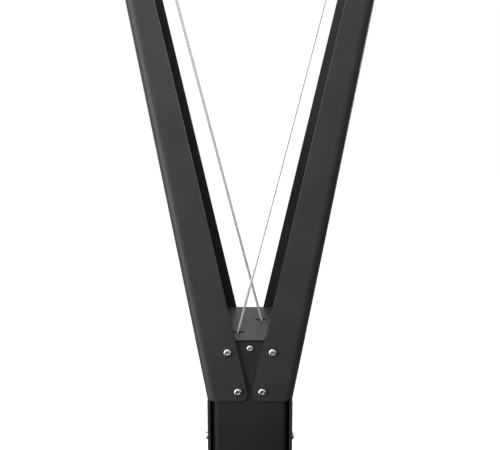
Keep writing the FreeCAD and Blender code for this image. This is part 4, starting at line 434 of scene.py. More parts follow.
FINISH_MAKERS = {
    "arm_coat": lambda: powder_coat("powder_coated_arm_steel", *shades("arms")),
    "frame_coat": lambda: powder_coat("powder_coated_frame_steel", *shades("frame")),
    # The neck plate has the arms' black powder coat; its colour is lighter as painted light, for the light
    # that falls on its upward face
    "plate_coat_painted_light": lambda: powder_coat("powder_coated_neck_plate", *shades("plate"), roughness=0.42),
    "stand_coat": lambda: powder_coat("powder_coated_stand_steel", *shades("frame"), roughness=0.5),
    "rim_steel": lambda: powder_coat("pierced_rim_steel", "181819", "1E1E1F", roughness=0.5),
    "cover_abs": lambda: moulded("moulded_cover_abs", *shades("cover"), texture=0.5),
    "housing_abs": lambda: moulded("moulded_housing_abs", "1A1A1B", "202021", texture=0.8, depth=0.06),
    "glass_nylon": lambda: moulded("glass_filled_nylon", "1B1B1C", "222223", roughness=0.55, texture=0.3),
    "handle_nylon": lambda: moulded("moulded_handle_nylon", "1A1A1A", "212121", roughness=0.42),
    "ball_plastic": lambda: moulded(
        "polished_ball_nylon", "1A1A1B", "1F1F20", roughness=0.25, texture=1.0, depth=0.01),
    "monitor_abs": lambda: moulded("moulded_monitor_abs", "2A2B2D", "303133", roughness=0.48, texture=0.5),
    "wheel_nylon": lambda: moulded("moulded_wheel_nylon", "18181A", "202022", texture=0.6),
    # Acetal turned on a lathe: waxy black, with fine rings that catch the light
    "acetal": lambda: plain_skin(
        "turned_acetal", "1B1C1D", 0.32, size=0.5, detail=1.0, gloss=(0.27, 0.4), depth=0.008, edge=0.4),
    # Zinc-plated steel, passivated: a bluish grey with faint cloudy patches
    "zinc": lambda: plain_skin(
        "zinc_plated_steel", "B4B8BC", 0.32, size=4, detail=4.0, metallic=1.0,
        tones=("A3A7AC", "C2C5C8"), gloss=(0.26, 0.42), depth=0.01, edge=0.3),
    # Stainless steel, tumbled bright: nearly white, with soft reflections
    "stainless": lambda: plain_skin(
        "tumbled_stainless", "B2B1AE", 0.26, size=0.8, metallic=1.0,
        gloss=(0.2, 0.34), depth=0.006, edge=0.2),
    # Steel blackened in a bath: oily black, with a soft metal shine
    "black_oxide": lambda: plain_skin(
        "black_oxide_steel", "303133", 0.38, size=1.5, metallic=0.8,
        tones=("28292B", "3A3B3D"), gloss=(0.32, 0.46), depth=0.01, edge=0.2),
    # Ground bearing steel: bright, with fine rings round its axis
    "ground_steel": lambda: plain_skin(
        "ground_bearing_steel", "C4C6C8", 0.25, size=0.6, detail=2.0, stretch=(1, 0.1, 1), metallic=1.0,
        gloss=(0.2, 0.36), depth=0.004, edge=0.3),
    # Gravity-cast aluminium: a dull sandy skin
    "cast_alloy": lambda: plain_skin(
        "cast_aluminium", "A9ABAD", 0.5, size=0.7, detail=4.0, roughness=0.7, metallic=1.0,
        tones=("96989A", "B8BABC"), depth=0.06, edge=0.8),
    "spun_alloy": lambda: spun_alloy("spun_aluminium"),
    "drive_braid": lambda: braid("braided_polyester", "E4E4E2", "FFFFFD", 1.6),
    # The rear cord: the same white braid as the front cord, a little darker, as painted shade for the cord
    # behind, which gets less light
    "aged_braid": lambda: braid("aged_braided_polyester", *shades("rear_cord_shade"), 1.6),
    "elastic_braid": lambda: braid("braided_elastic_sleeve", "141415", "3A3A3C", 2.4),
    "grip_rubber": lambda: gripped_rubber("soft_grip_rubber"),
    "tread_rubber": lambda: soft_rubber("ribbed_tread_rubber", "18181A", "212123", texture=1.2, depth=0.1),
    "foot_rubber": lambda: soft_rubber("moulded_foot_rubber", "121213", "19191A"),
    "button_silicone": lambda: soft_rubber("button_silicone", "7A7C7E", "86888A", texture=0.4, depth=0.02),
    "strap_webbing": lambda: webbing("nylon_webbing"),
    # Bonded polyester thread: a dull grey twist
    "thread": lambda: plain_skin(
        "polyester_thread", "5A5A5C", 0.7, size=0.4, detail=1.0, tones=("48484A", "6A6A6C"), depth=0.1),
    "monitor_glass": lambda: window_glass("acrylic_window_over_film"),
    "board": lambda: solder_mask("green_solder_mask"),
    # Driven segments of the display: near-black with a green cast
    "segments": lambda: plain_skin(
        "liquid_crystal", "1E231E", 0.4, size=0.6, detail=1.0, tones=("1A1F1A", "252B25"), depth=0.01),
    # Screen-printed ink: flat pale grey that the moulded grain shows through
    "ink": lambda: plain_skin(
        "screen_printed_ink", "C4C6C6", 0.6, size=0.8, specular=0.3, tones=("B6B8B8", "CFD1D1"), depth=0.03),
    # Painted weld: the coat lies over fine ripples and pulls thin on them
    "weld": lambda: plain_skin(
        "painted_weld", "303031", 0.42, size=1.5, specular=0.3, tones=("2A2A2B", "363637"), depth=0.1),
    "deck_board": lambda: deck_board("pebbled_deck_board"),
}

NODE_FINISHES = {
    "arm_coat": ("right_arm", "left_arm"),
    "frame_coat": ("frame_channel", "monitor_arm"),
    "plate_coat_painted_light": ("neck_cap",),
    "stand_coat": ("stand_upright", "platform_frame"),
    "cover_abs": ("front_cover",),
    "housing_abs": ("housing_back", "housing_front", "inlet_grille"),
    "rim_steel": ("housing_rim",),
    "glass_nylon": ("right_head", "left_head", "front_spool", "rear_spool", "damper_ring", "speed_sensor"),
    "acetal": (
        "right_top_sheave", "left_top_sheave", "front_slot_roller", "rear_slot_roller",
        "front_return_sheave", "rear_return_sheave",
    ),
    "zinc": ("axle_bolts", "stand_bolts", "pulley_brackets", "flywheel_shaft"),
    "ground_steel": ("front_clutch", "rear_clutch", "shaft_bearings"),
    "cast_alloy": ("bearing_plates",),
    "spun_alloy": ("fan_wheel",),
    "drive_braid": ("drive_cords",),
    "elastic_braid": ("shock_cords",),
    "handle_nylon": ("right_handle", "left_handle"),
    "grip_rubber": ("right_grip", "left_grip"),
    "ball_plastic": ("right_stop_ball", "left_stop_ball", "cord_guides"),
    "monitor_abs": ("monitor_back", "monitor_bezel"),
    "monitor_glass": ("monitor_screen",),
    "button_silicone": ("menu_button_1", "menu_button_2", "menu_button_3", "menu_button_4"),
    "deck_board": ("foot_deck",),
    "tread_rubber": ("tread_pads",),
    "foot_rubber": ("rubber_feet", "upright_cap"),
    "wheel_nylon": ("right_wheel", "left_wheel"),
}


def give(obj, finish):
    """The object wears one finish all over."""
    obj.data.materials.clear()
    obj.data.materials.append(material_of(finish))


# Mesh helpers

def deselect():
    if bpy.context.object and bpy.context.object.mode != "OBJECT":
        bpy.ops.object.mode_set(mode="OBJECT")
    bpy.ops.object.select_all(action="DESELECT")


def take(obj):
    """Makes an object the only one selected and active."""
    deselect()
    obj.select_set(True)
    bpy.context.view_layer.objects.active = obj


def named(name):
    """The active object, renamed."""
    obj = bpy.context.object
    obj.name = obj.data.name = name
    return obj


def settle(obj):
    """Puts the object's place into its mesh, and leaves the object at the origin."""
    take(obj)
    bpy.ops.object.transform_apply(location=True, rotation=True, scale=True)


def edit(obj):
    """Edit mode with nothing selected."""
    take(obj)
    bpy.ops.object.mode_set(mode="EDIT")
    bpy.ops.mesh.select_all(action="DESELECT")


def every(element):
    """A test for pick that everything passes."""
    return True


def pick(obj, kind, test):
    """Selects, in edit mode, the faces, edges or vertices that pass a test."""
    mesh = bmesh.from_edit_mesh(obj.data)
    bpy.ops.mesh.select_mode(type={"faces": "FACE", "edges": "EDGE", "verts": "VERT"}[kind])
    bpy.ops.mesh.select_all(action="DESELECT")
    for element in getattr(mesh, kind):
        element.select_set(bool(test(element)))
    bmesh.update_edit_mesh(obj.data)


def object_mode():
    bpy.ops.object.mode_set(mode="OBJECT")


def faced_out(obj):
    """Turns the faces of a piece in edit mode outwards, and leaves that mode."""
    pick(obj, "faces", every)
    bpy.ops.mesh.normals_make_consistent(inside=False)
    object_mode()


def soften(obj, width, degrees):
    """Rounds the edges that are sharper than an angle."""
    bevel = obj.modifiers.new("soften", "BEVEL")
    bevel.width, bevel.segments, bevel.limit_method = width, 2, "ANGLE"
    bevel.angle_limit = math.radians(degrees)


def bead(name, segments, rings, radius, shape):
    """A sphere stretched to a shape, as a pattern for copies."""
    bpy.ops.mesh.primitive_uv_sphere_add(segments=segments, ring_count=rings, radius=radius)
    pattern = named(name)
    edit(pattern)
    pick(pattern, "verts", every)
    bpy.ops.transform.resize(value=shape)
    object_mode()
    return pattern


def apply_all(obj):
    take(obj)
    for modifier in list(obj.modifiers):
        bpy.ops.object.modifier_apply(modifier=modifier.name)


def smooth(obj, degrees=35):
    take(obj)
    bpy.ops.object.shade_smooth_by_angle(angle=math.radians(degrees))


def copy_of(obj, matrix):
    """A copy with its own mesh, moved by a matrix."""
    twin = obj.copy()
    twin.data = obj.data.copy()
    twin.data.transform(matrix)
    bpy.context.scene.collection.objects.link(twin)
    return twin


def join(name, objects, degrees=None):
    """One object out of several, smoothed up to an angle if one is given."""
    deselect()
    for obj in objects:
        obj.select_set(True)
    bpy.context.view_layer.objects.active = objects[0]
    if len(objects) > 1:
        bpy.ops.object.join()
    whole = named(name)
    if degrees:
        smooth(whole, degrees)
    return whole


def solids(name):
    """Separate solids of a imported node: their points, and the numbers of their faces."""
    mesh = bmesh.new()
    mesh.from_mesh(NODES[name].data)
    number = mesh.faces.layers.int.new("number")
    mesh.faces.ensure_lookup_table()
    for face in mesh.faces:
        face[number] = face.index
    bmesh.ops.remove_doubles(mesh, verts=mesh.verts, dist=MERGE_DISTANCE)
    seen = set()
    for first in mesh.verts:
        if first in seen:
            continue
        seen.add(first)
        island, queue = [], [first]
        while queue:
            vert = queue.pop()
            island.append(vert)
            for edge in vert.link_edges:
                other = edge.other_vert(vert)
                if other not in seen:
                    seen.add(other)
                    queue.append(other)
        faces = {face[number] for vert in island for face in vert.link_faces}
        yield [vert.co.copy() for vert in island], faces
    mesh.free()


def corners(points):
    """Lowest and highest corner of some points."""
    low = Vector(min(point[i] for point in points) for i in range(3))
    high = Vector(max(point[i] for point in points) for i in range(3))
    return low, high


def repaint(name, finish, faces):
    """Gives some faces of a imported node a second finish."""
    mesh = NODES[name].data
    mesh.materials.append(material_of(finish))
    slot = len(mesh.materials) - 1
    for index in faces:
        mesh.polygons[index].material_index = slot


def panel_matrix(origin, up):
    """Places a flat piece drawn in X and Y: X stays across, Y follows up, and Z faces the user."""
    across = Vector((1, 0, 0))
    out = across.cross(up)
    return Matrix.Translation(origin) @ Matrix((across, up, out)).transposed().to_4x4()


def housing_centre():
    """The damper's axis in the front plane of the fan's housing."""
    axle = Vector(RECORD_JOINTS["damper_turn"]["pos_m"])
    return Vector((axle.x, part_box("housing_front")[0].y, axle.z))


def radial(angle):
    """Direction in the housing's front plane, at an angle from +X towards +Z."""
    return Vector((math.cos(angle), 0, math.sin(angle)))


def extruded_along(steps):
    """Extrudes what is selected through a list of steps."""
    for step in steps:
        bpy.ops.mesh.extrude_region_move(TRANSFORM_OT_translate={"value": step})


def finished(obj, finish, body, slot, *replaced):
    """Gives a new piece its finish and its body, and hides the nodes that it stands for; the slot is not
    used.
    """
    give(obj, finish)
    if body:
        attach(obj, body)
    if replaced:
        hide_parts(*replaced)


# Sizes and colours that a user would change

def tint(name, description, code):
    """A colour property."""
    return bpy.props.FloatVectorProperty(
        name=name, description=description, default=colour(code)[:3], subtype="COLOR", min=0, max=1)


def number(name, description, default, **settings):
    """A plain number, or an angle where the settings say so."""
    return bpy.props.FloatProperty(name=name, description=description, default=default, **settings)


def length(name, description, default):
    """A length in metres."""
    return number(name, description, default, unit="LENGTH")


def power(name, description, default):
    """A light's power in watts."""
    return number(name, description, default, unit="POWER")


class ERGOMETER_PG_colours(bpy.types.PropertyGroup):
    """Colours of the large pieces."""

    arms: tint("Arms", "Powder coat of the arms", "313131")
    frame: tint("Frame", "Powder coat of the channel and the stand", "2F2F2F")
    # Painted light: lighter than the arms' coat, standing in for the light on the plate's upward face
    plate: tint("Neck plate", "Powder coat of the plate between the arms", "4A4A4A")
    cover: tint("Cover", "Plastic of the front cover", "222223")
    # Painted shade: the rear cord's braid is the front cord's white, darkened for the light that reaches it
    # less
    rear_cord_shade: tint("Rear cord shade", "Braid of the rear cord, painted a little darker as shade", "EDEDEA")


class ERGOMETER_PG_stage(bpy.types.PropertyGroup):
    """Camera and light of the photograph's view."""

    camera_height: length("Camera height", "Height of the lens above the floor", 1.774)
    camera_distance: length("Camera distance", "From the arms' front faces to the lens", 1.277)
    camera_pitch: number(
        "Camera pitch", "How far the lens looks down", math.radians(15.43), subtype="ANGLE")
    lens: number("Lens", "Focal length on a 36 mm sensor, in millimetres", 72.0)
    key_power: power("Key light", "Power of the light above the arms", 12.6)
    side_power: power("Side light", "Power of the tall light on the left", 38.0)
    back_power: power("Back light", "Power of the soft light behind", 34.0)
    room: number("Room light", "Strength of the even light from all round", 0.05)
    floor: number("Floor glow", "What the camera adds to the lit floor by the machine", 0.8)


class ERGOMETER_PG_screws(bpy.types.PropertyGroup):
    """Button-head screws."""

    head: length("Head radius", "Radius of the domed head", 5.6 * MM)
    height: length("Head height", "Height of the domed head", 3.3 * MM)
    socket: length("Socket", "Width across the flats of the hexagon socket", 4.8 * MM)
    small_head: length("Centre head radius", "Radius of the centre screw's head", 4.7 * MM)
    housing_head: length("Housing head radius", "Radius of the heads on the fan's housing", 3.8 * MM)
    housing_circle: length("Housing screw circle", "Radius of the circle of the housing's screws", 198 * MM)


class ERGOMETER_PG_soft(bpy.types.PropertyGroup):
    """Pull cords and hand straps."""

    cord: length("Cord", "Diameter of the pull cords", 3.2 * MM)
    webbing: length("Webbing", "Thickness of the straps' webbing", 2.2 * MM)
    bow: length("Bow", "How far a strap bows out at its middle", 2.5 * MM)
    stitch: length("Stitch", "Length of one stitch", 2.2 * MM)


class ERGOMETER_PG_dial(bpy.types.PropertyGroup):
    """Numbered scale of the damper, and the monitor's figures."""

    figure: length("Scale figures", "Height of the scale's numbers", 8 * MM)
    radius: length("Scale radius", "Radius of the ring of numbers", 197 * MM)
    steps: bpy.props.IntProperty(name="Scale steps", description="Numbers on the scale", default=10)
    digit: length("Large figures", "Height of the display's large figures", 25 * MM)
    small_digit: length("Small figures", "Height of the display's small figures", 13 * MM)


# Operators

class ERGOMETER_OT_stage(bpy.types.Operator):
    """Builds the white room, its soft lights and the camera of the photograph's view"""

    bl_idname = "ergometer.stage"
    bl_label = "Stage and camera"

    def execute(self, context):
        sizes = context.scene.ergometer_stage
        self.camera(context, sizes)
        self.room(context, sizes)
        self.lights(sizes)
        context.scene.view_settings.view_transform = "Standard"
        return {"FINISHED"}

    def camera(self, context, sizes):
        lens = bpy.data.cameras.new("photo_camera")
        lens.lens, lens.sensor_width = sizes.lens, SENSOR_WIDTH
        lens.clip_start, lens.clip_end = CLIP_RANGE
        camera = bpy.data.objects.new("photo_camera", lens)
        context.scene.collection.objects.link(camera)
        camera.location = (0, ARMS_FRONT - sizes.camera_distance, sizes.camera_height)
        camera.rotation_euler = (QUARTER_TURN - sizes.camera_pitch, 0, 0)
        context.scene.camera = camera

    def room(self, context, sizes):
        """White floor that fades into the backdrop, and a world that looks white while it lights less."""
        world = bpy.data.worlds.new("studio")
        context.scene.world = world
        world.use_nodes = True
        tree = world.node_tree
        background = tree.nodes["Background"]
        path = add(tree, "ShaderNodeLightPath")
        seen = path.outputs["Is Camera Ray"]
        for ray in ("Is Glossy Ray", "Is Transmission Ray"):
            seen = combined(tree, "MAXIMUM", seen, path.outputs[ray])
        strength = add(tree, "ShaderNodeMapRange", {"Value": seen, "To Min": sizes.room, "To Max": 1.0})
        tree.links.new(strength.outputs["Result"], background.inputs["Strength"])
        background.inputs["Color"].default_value = WHITE
        bpy.ops.mesh.primitive_plane_add(size=FLOOR_SIZE, location=(0, 0, 0))
        floor = named("studio_floor")
        material, tree, shader = new_material("floor_paper", "E6E6E6", 0.9, specular=0.0)
        path = add(tree, "ShaderNodeLightPath")
        place = add(tree, "ShaderNodeTexCoord").outputs["Object"]
        distance = add(tree, "ShaderNodeVectorMath", {0: place}, operation="LENGTH").outputs["Value"]
        white = between(tree, distance, sizes.floor, 1.0, source=FLOOR_FADE)
        glow = combined(tree, "MULTIPLY", path.outputs["Is Camera Ray"], white)
        shader.inputs["Emission Color"].default_value = WHITE
        tree.links.new(glow, shader.inputs["Emission Strength"])
        floor.data.materials.append(material)

    def lights(self, sizes):
        aim = Vector((0, ARMS_FRONT, NECK_TOP + AIM_ABOVE_NECK))
        for name, (place, size) in LIGHTS.items():
            light = bpy.data.lights.new(name + "_light", "AREA")
            light.shape, light.energy = "RECTANGLE", getattr(sizes, name + "_power")
            light.size, light.size_y = size
            lamp = bpy.data.objects.new(name + "_light", light)
            bpy.context.scene.collection.objects.link(lamp)
            lamp.location = place
            lamp.visible_camera = False
            lamp.rotation_euler = (aim - Vector(place)).to_track_quat("-Z", "Y").to_euler()


class ERGOMETER_OT_finishes(bpy.types.Operator):
    """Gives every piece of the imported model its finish"""

    bl_idname = "ergometer.finishes"
    bl_label = "Finishes"

    def execute(self, context):
        for finish, names in NODE_FINISHES.items():
            for name in names:
                give(NODES[name], finish)
        # Painted shade: the rear cord's faces get the darker copy of the braid
        for points, faces in solids("drive_cords"):
            if corners(points)[1].y > REAR_CORD:
                repaint("drive_cords", "aged_braid", faces)
        origin, up = display_plane()
        board = [
            polygon.index for polygon in NODES["monitor_screen"].data.polygons
            if (polygon.center - origin).dot(Vector((1, 0, 0)).cross(up)) < -BOARD_BEHIND
        ]
        repaint("monitor_screen", "board", board)
        return {"FINISHED"}


def display_plane():
    """Middle of the display's window, on its front face, and the direction up along it."""
    pivot = Vector(RECORD_JOINTS["monitor_tilt"]["pos_m"])
    up = Vector((0, math.sin(MONITOR_LEAN), math.cos(MONITOR_LEAN)))
    out = Vector((1, 0, 0)).cross(up)
    front = max(vert.co.dot(out) for vert in NODES["monitor_screen"].data.vertices)
    return pivot + WINDOW_RAISE * up + (front - pivot.dot(out)) * out, up


class ERGOMETER_OT_pull_cords(bpy.types.Operator):
    """Makes the two cords between the guides and the handles"""

    bl_idname = "ergometer.pull_cords"
    bl_label = "Pull cords"

    def execute(self, context):
        radius = context.scene.ergometer_soft.cord / 2
        for side in SIDES:
            low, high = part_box(side + "_pull_cord")
            middle = (low + high) / 2
            leaves = high.z - INSIDE_GUIDE
            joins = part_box(side + "_stop_ball")[1].z - INSIDE_BALL
            bpy.ops.mesh.primitive_circle_add(
                vertices=CORD_SIDES, radius=radius, fill_type="NGON", location=(middle.x, middle.y, low.z))
            cord = named(side + "_drawn_cord")
            settle(cord)
            edit(cord)
            pick(cord, "faces", every)
            drawn = [(0, 0, (leaves - joins) / CORD_RINGS)] * CORD_RINGS
            extruded_along([(0, 0, joins - low.z)] + drawn + [(0, 0, high.z - leaves)])
            faced_out(cord)
            smooth(cord, 60)
            finished(cord, "drive_braid", None, "cord_fibre", side + "_pull_cord")
            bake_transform(cord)
        return {"FINISHED"}


class ERGOMETER_OT_straps(bpy.types.Operator):
    """Makes the woven hand straps with their folded and sewn ends"""

    bl_idname = "ergometer.straps"
    bl_label = "Hand straps"

    def execute(self, context):
        sizes = context.scene.ergometer_soft
        for side in SIDES:
            low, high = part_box(side + "_hand_strap")
            strap = self.band(side + "_webbing_strap", low, high, sizes)
            finished(strap, "strap_webbing", side + "_pull", "strap_webbing", side + "_hand_strap")
            seam = self.stitches(side + "_strap_stitches", low, high, sizes)
            finished(seam, "thread", side + "_pull", "strap_webbing")
        return {"FINISHED"}

    def levels(self, low, high):
        """Heights of the middle layer of the upper and the lower fold."""
        return high.z - FOLD_MIDDLE, low.z + FOLD_MIDDLE

    def route(self, low, high, bow):
        """The band's middle line in Y and Z, from fold to fold."""
        top, bottom = self.levels(low, high)
        front, turn = low.y + STRAP_LAYER / 2, STRAP_CORNER - STRAP_LAYER / 2
        back, tail, fold = high.y - STRAP_LAYER, high.y - STRAP_FOLD + FOLD_TUCK, STRAP_LAYER / 2
        line = [(tail, top + STRAP_LAYER)]
        line += self.arc(back, top + fold, fold, 90, -90, FOLD_STEPS)
        line += self.arc(front + turn, top - turn, turn, 90, 180, CORNER_STEPS)
        length = top - bottom - 2 * turn
        for i in range(1, BOW_STEPS):
            share = i / BOW_STEPS
            line.append((front - bow * math.sin(math.pi * share) ** 2, top - turn - length * share))
        line += self.arc(front + turn, bottom + turn, turn, 180, 270, CORNER_STEPS)
        line += self.arc(back, bottom - fold, fold, 90, -90, FOLD_STEPS)
        line.append((tail, bottom - STRAP_LAYER))
        return line

    def arc(self, y, z, radius, start, end, steps):
        """Points on an arc in Y and Z; angles count from +Y towards +Z."""
        angles = [math.radians(start + (end - start) * i / steps) for i in range(steps + 1)]
        return [(y + radius * math.cos(a), z + radius * math.sin(a)) for a in angles]

    def strip(self, name, x, width, line, thickness):
        """A flat strip of webbing along a line, with its lengths as UV and its thickness."""
        (y0, z0), (y1, _) = line[:2]
        bpy.ops.mesh.primitive_plane_add(
            size=width, calc_uvs=False, location=(x, (y0 + y1) / 2, z0))
        strip = named(name)
        settle(strip)
        edit(strip)
        pick(strip, "verts", every)
        bpy.ops.transform.resize(value=(1, abs(y1 - y0) / width, 1))
        pick(strip, "edges", lambda edge: all(abs(vert.co.y - y1) < MERGE_DISTANCE for vert in edge.verts))
        extruded_along([(0, b[0] - a[0], b[1] - a[1]) for a, b in zip(line[1:], line[2:])])
        pick(strip, "edges", lambda edge: abs(edge.verts[0].co.x - edge.verts[1].co.x) > width / 2)
        bpy.ops.mesh.subdivide(number_cuts=BAND_CUTS)
        object_mode()
        lengths = [0.0]
        for a, b in zip(line, line[1:]):
            lengths.append(lengths[-1] + math.dist(a, b))
        mesh = strip.data
        layer = mesh.uv_layers.new(name="band")
        for loop in mesh.loops:
            point = mesh.vertices[loop.vertex_index].co
            nearest = min(range(len(line)), key=lambda i: math.dist(line[i], (point.y, point.z)))
            layer.data[loop.index].uv = (point.x - x, lengths[nearest])
        thicken = strip.modifiers.new("thickness", "SOLIDIFY")
        thicken.thickness, thicken.offset = thickness, 0.0
        soften(strip, thickness * SELVAGE_SHARE, 60)
        apply_all(strip)
        return strip

    def band(self, name, low, high, sizes):
        """The band with its folds, each with a third layer of its own."""
        x, width = (low.x + high.x) / 2, high.x - low.x
        strips = [self.strip(name, x, width, self.route(low, high, sizes.bow), sizes.webbing)]
        tail, end = high.y - STRAP_FOLD + FOLD_TUCK, high.y - FOLD_TUCK
        top, bottom = self.levels(low, high)
        for level in (top - STRAP_LAYER, bottom + STRAP_LAYER):
            line = [(tail + (end - tail) * i / FOLD_CUTS, level) for i in range(FOLD_CUTS + 1)]
            strips.append(self.strip(name, x, width, line, sizes.webbing))
        strap = join(name, strips)
        edit(strap)
        faced_out(strap)
        smooth(strap, 50)
        return strap

    def stitches(self, name, low, high, sizes):
        """Two rows of stitches on each side of each fold."""
        shape = (sizes.stitch / (2 * THREAD_RADIUS), 1, THREAD_FLATNESS)
        pattern = bead("stitch_pattern", 10, 6, THREAD_RADIUS, shape)
        x, width = (low.x + high.x) / 2, high.x - low.x
        pitch = sizes.stitch * STITCH_PITCH_SHARE
        count = int((width - SEAM_MARGIN) / pitch)
        reach = STRAP_LAYER + sizes.webbing / 2
        made = []
        for level in self.levels(low, high):
            for z in (level - reach, level + reach):
                for y in (high.y - STRAP_FOLD + SEAM_INSET, high.y - SEAM_INSET):
                    for i in range(count):
                        place = Vector((x + (i - (count - 1) / 2) * pitch, y, z))
                        made.append(copy_of(pattern, Matrix.Translation(place)))
        bpy.data.objects.remove(pattern)
        return join(name, made, 80)


class ERGOMETER_OT_screws(bpy.types.Operator):
    """Makes the domed button-head screws with their hexagon sockets"""

    bl_idname = "ergometer.screws"
    bl_label = "Button-head screws"

    def execute(self, context):
        sizes = context.scene.ergometer_screws
        patterns = {radius: self.head(radius, sizes) for radius in (sizes.head, sizes.small_head)}
        heads = []
        for centre, outward, radius in self.places():
            nearest = min(patterns, key=lambda known: abs(known - radius))
            heads.append(self.placed(patterns[nearest], centre, outward))
        screws = join("button_head_screws", heads, 40)
        finished(screws, "stainless", "root", "screw_steel", "socket_screws")
        housing_head = self.head(sizes.housing_head, sizes)
        heads = []
        for i in range(HOUSING_SCREWS):
            angle = QUARTER_TURN + math.tau * i / HOUSING_SCREWS
            centre = housing_centre() + radial(angle) * sizes.housing_circle
            heads.append(self.placed(housing_head, centre, Vector((0, -1, 0))))
        ring = join("housing_screws", heads, 40)
        finished(ring, "black_oxide", "root", "screw_steel")
        for pattern in (*patterns.values(), housing_head):
            bpy.data.objects.remove(pattern)
        return {"FINISHED"}

    def placed(self, pattern, centre, outward):
        """A copy of a pattern, seated at a place with its dome outward."""
        turn = Vector((0, 0, 1)).rotation_difference(outward).to_matrix().to_4x4()
        return copy_of(pattern, Matrix.Translation(centre) @ turn)

    def head(self, radius, sizes):
        """A domed head on a short shank: its seat lies at z = 0 and its dome points up."""
        scale = radius / sizes.head
        height, socket = sizes.height * scale, sizes.socket * scale
        bpy.ops.mesh.primitive_cylinder_add(
            vertices=HEAD_SIDES, radius=radius, depth=height, location=(0, 0, height / 2))
        screw = named("head_pattern")
        settle(screw)
        edit(screw)
        pick(screw, "edges", lambda edge: all(vert.co.z > height / 2 for vert in edge.verts))
        bpy.ops.mesh.bevel(offset=height * DOME_SHARE, segments=DOME_STEPS, profile=0.5, affect="EDGES")
        pick(screw, "faces", lambda face: face.normal.z < -FACING)
        bpy.ops.mesh.inset(thickness=radius * SHANK_INSET_SHARE)
        extruded_along([(0, 0, -SHANK)])
        object_mode()
        bpy.ops.mesh.primitive_cylinder_add(
            vertices=6, radius=socket / math.sqrt(3), depth=height,
            location=(0, 0, height * SOCKET_HEIGHT_SHARE))
        cutter = named("socket_cutter")
        cut = screw.modifiers.new("socket", "BOOLEAN")
        cut.object, cut.operation, cut.solver = cutter, "DIFFERENCE", "EXACT"
        soften(screw, HEAD_EDGE * scale, 50)
        apply_all(screw)
        bpy.data.objects.remove(cutter)
        return screw

    def places(self):
        """Seat, outward direction and head radius of each screw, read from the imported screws."""
        for points, _ in solids("socket_screws"):
            low, high = corners(points)
            size, middle = high - low, (low + high) / 2
            axis = min(range(3), key=lambda i: abs(size[(i + 1) % 3] - size[(i + 2) % 3]))
            radius = size[(axis + 1) % 3] / 2
            rim = []
            for point in points:
                across = point - middle
                across[axis] = 0
                if across.length > radius * RIM_SHARE:
                    rim.append(point[axis])
            outward = Vector((0, 0, 0))
            outward[axis] = 1 if rim[0] > middle[axis] else -1
            seat = middle.copy()
            seat[axis] = min(rim) if outward[axis] > 0 else max(rim)
            yield seat, outward, radius


class ERGOMETER_OT_dial(bpy.types.Operator):
    """Prints the damper's scale from 1 to 10 on the fan's housing"""

    bl_idname = "ergometer.dial"
    bl_label = "Damper scale"

    def execute(self, context):
        sizes = context.scene.ergometer_dial
        closed, opened = RECORD_JOINTS["damper_turn"]["range_deg"]
        travel = math.radians(opened - closed)
        centre = housing_centre()
        marks = []
        for i in range(sizes.steps):
            angle = travel * (1 - i / (sizes.steps - 1)) - LEVER_REST
            figure = self.figure(str(i + 1), sizes.figure)
            figure.data.transform(panel_matrix(centre + radial(angle) * sizes.radius, Vector((0, 0, 1))))
            tick = self.tick()
            turned = Matrix.Rotation(-angle, 4, "Y")
            tick.data.transform(Matrix.Translation(centre) @ turned @ Matrix.Translation((TICK_RADIUS, 0, 0)))
            marks += [figure, tick]
        scale = join("damper_scale", marks)
        finished(scale, "ink", "root", "housing_plastic")
        return {"FINISHED"}

    def figure(self, words, height):
        """One number as a thin printed shape, in X and Y about the origin."""
        bpy.ops.object.text_add()
        text = bpy.context.object
        text.data.body, text.data.size, text.data.extrude = words, height, INK
        text.data.align_x, text.data.align_y = "CENTER", "CENTER"
        bpy.ops.object.convert(target="MESH")
        figure = named("figure")
        edit(figure)
        pick(figure, "verts", every)
        bpy.ops.mesh.remove_doubles(threshold=MERGE_DISTANCE)
        faced_out(figure)
        return figure

    def tick(self):
        """A round-ended line, along X."""
        bpy.ops.mesh.primitive_cylinder_add(vertices=12, radius=TICK_WIDTH / 2, depth=2 * INK)
        tick = named("tick")
        edit(tick)
        pick(tick, "verts", lambda vert: vert.co.x > ASIDE)
        bpy.ops.transform.translate(value=(TICK_LENGTH, 0, 0))
        object_mode()
        tick.data.transform(Matrix.Rotation(QUARTER_TURN, 4, "X"))
        return tick


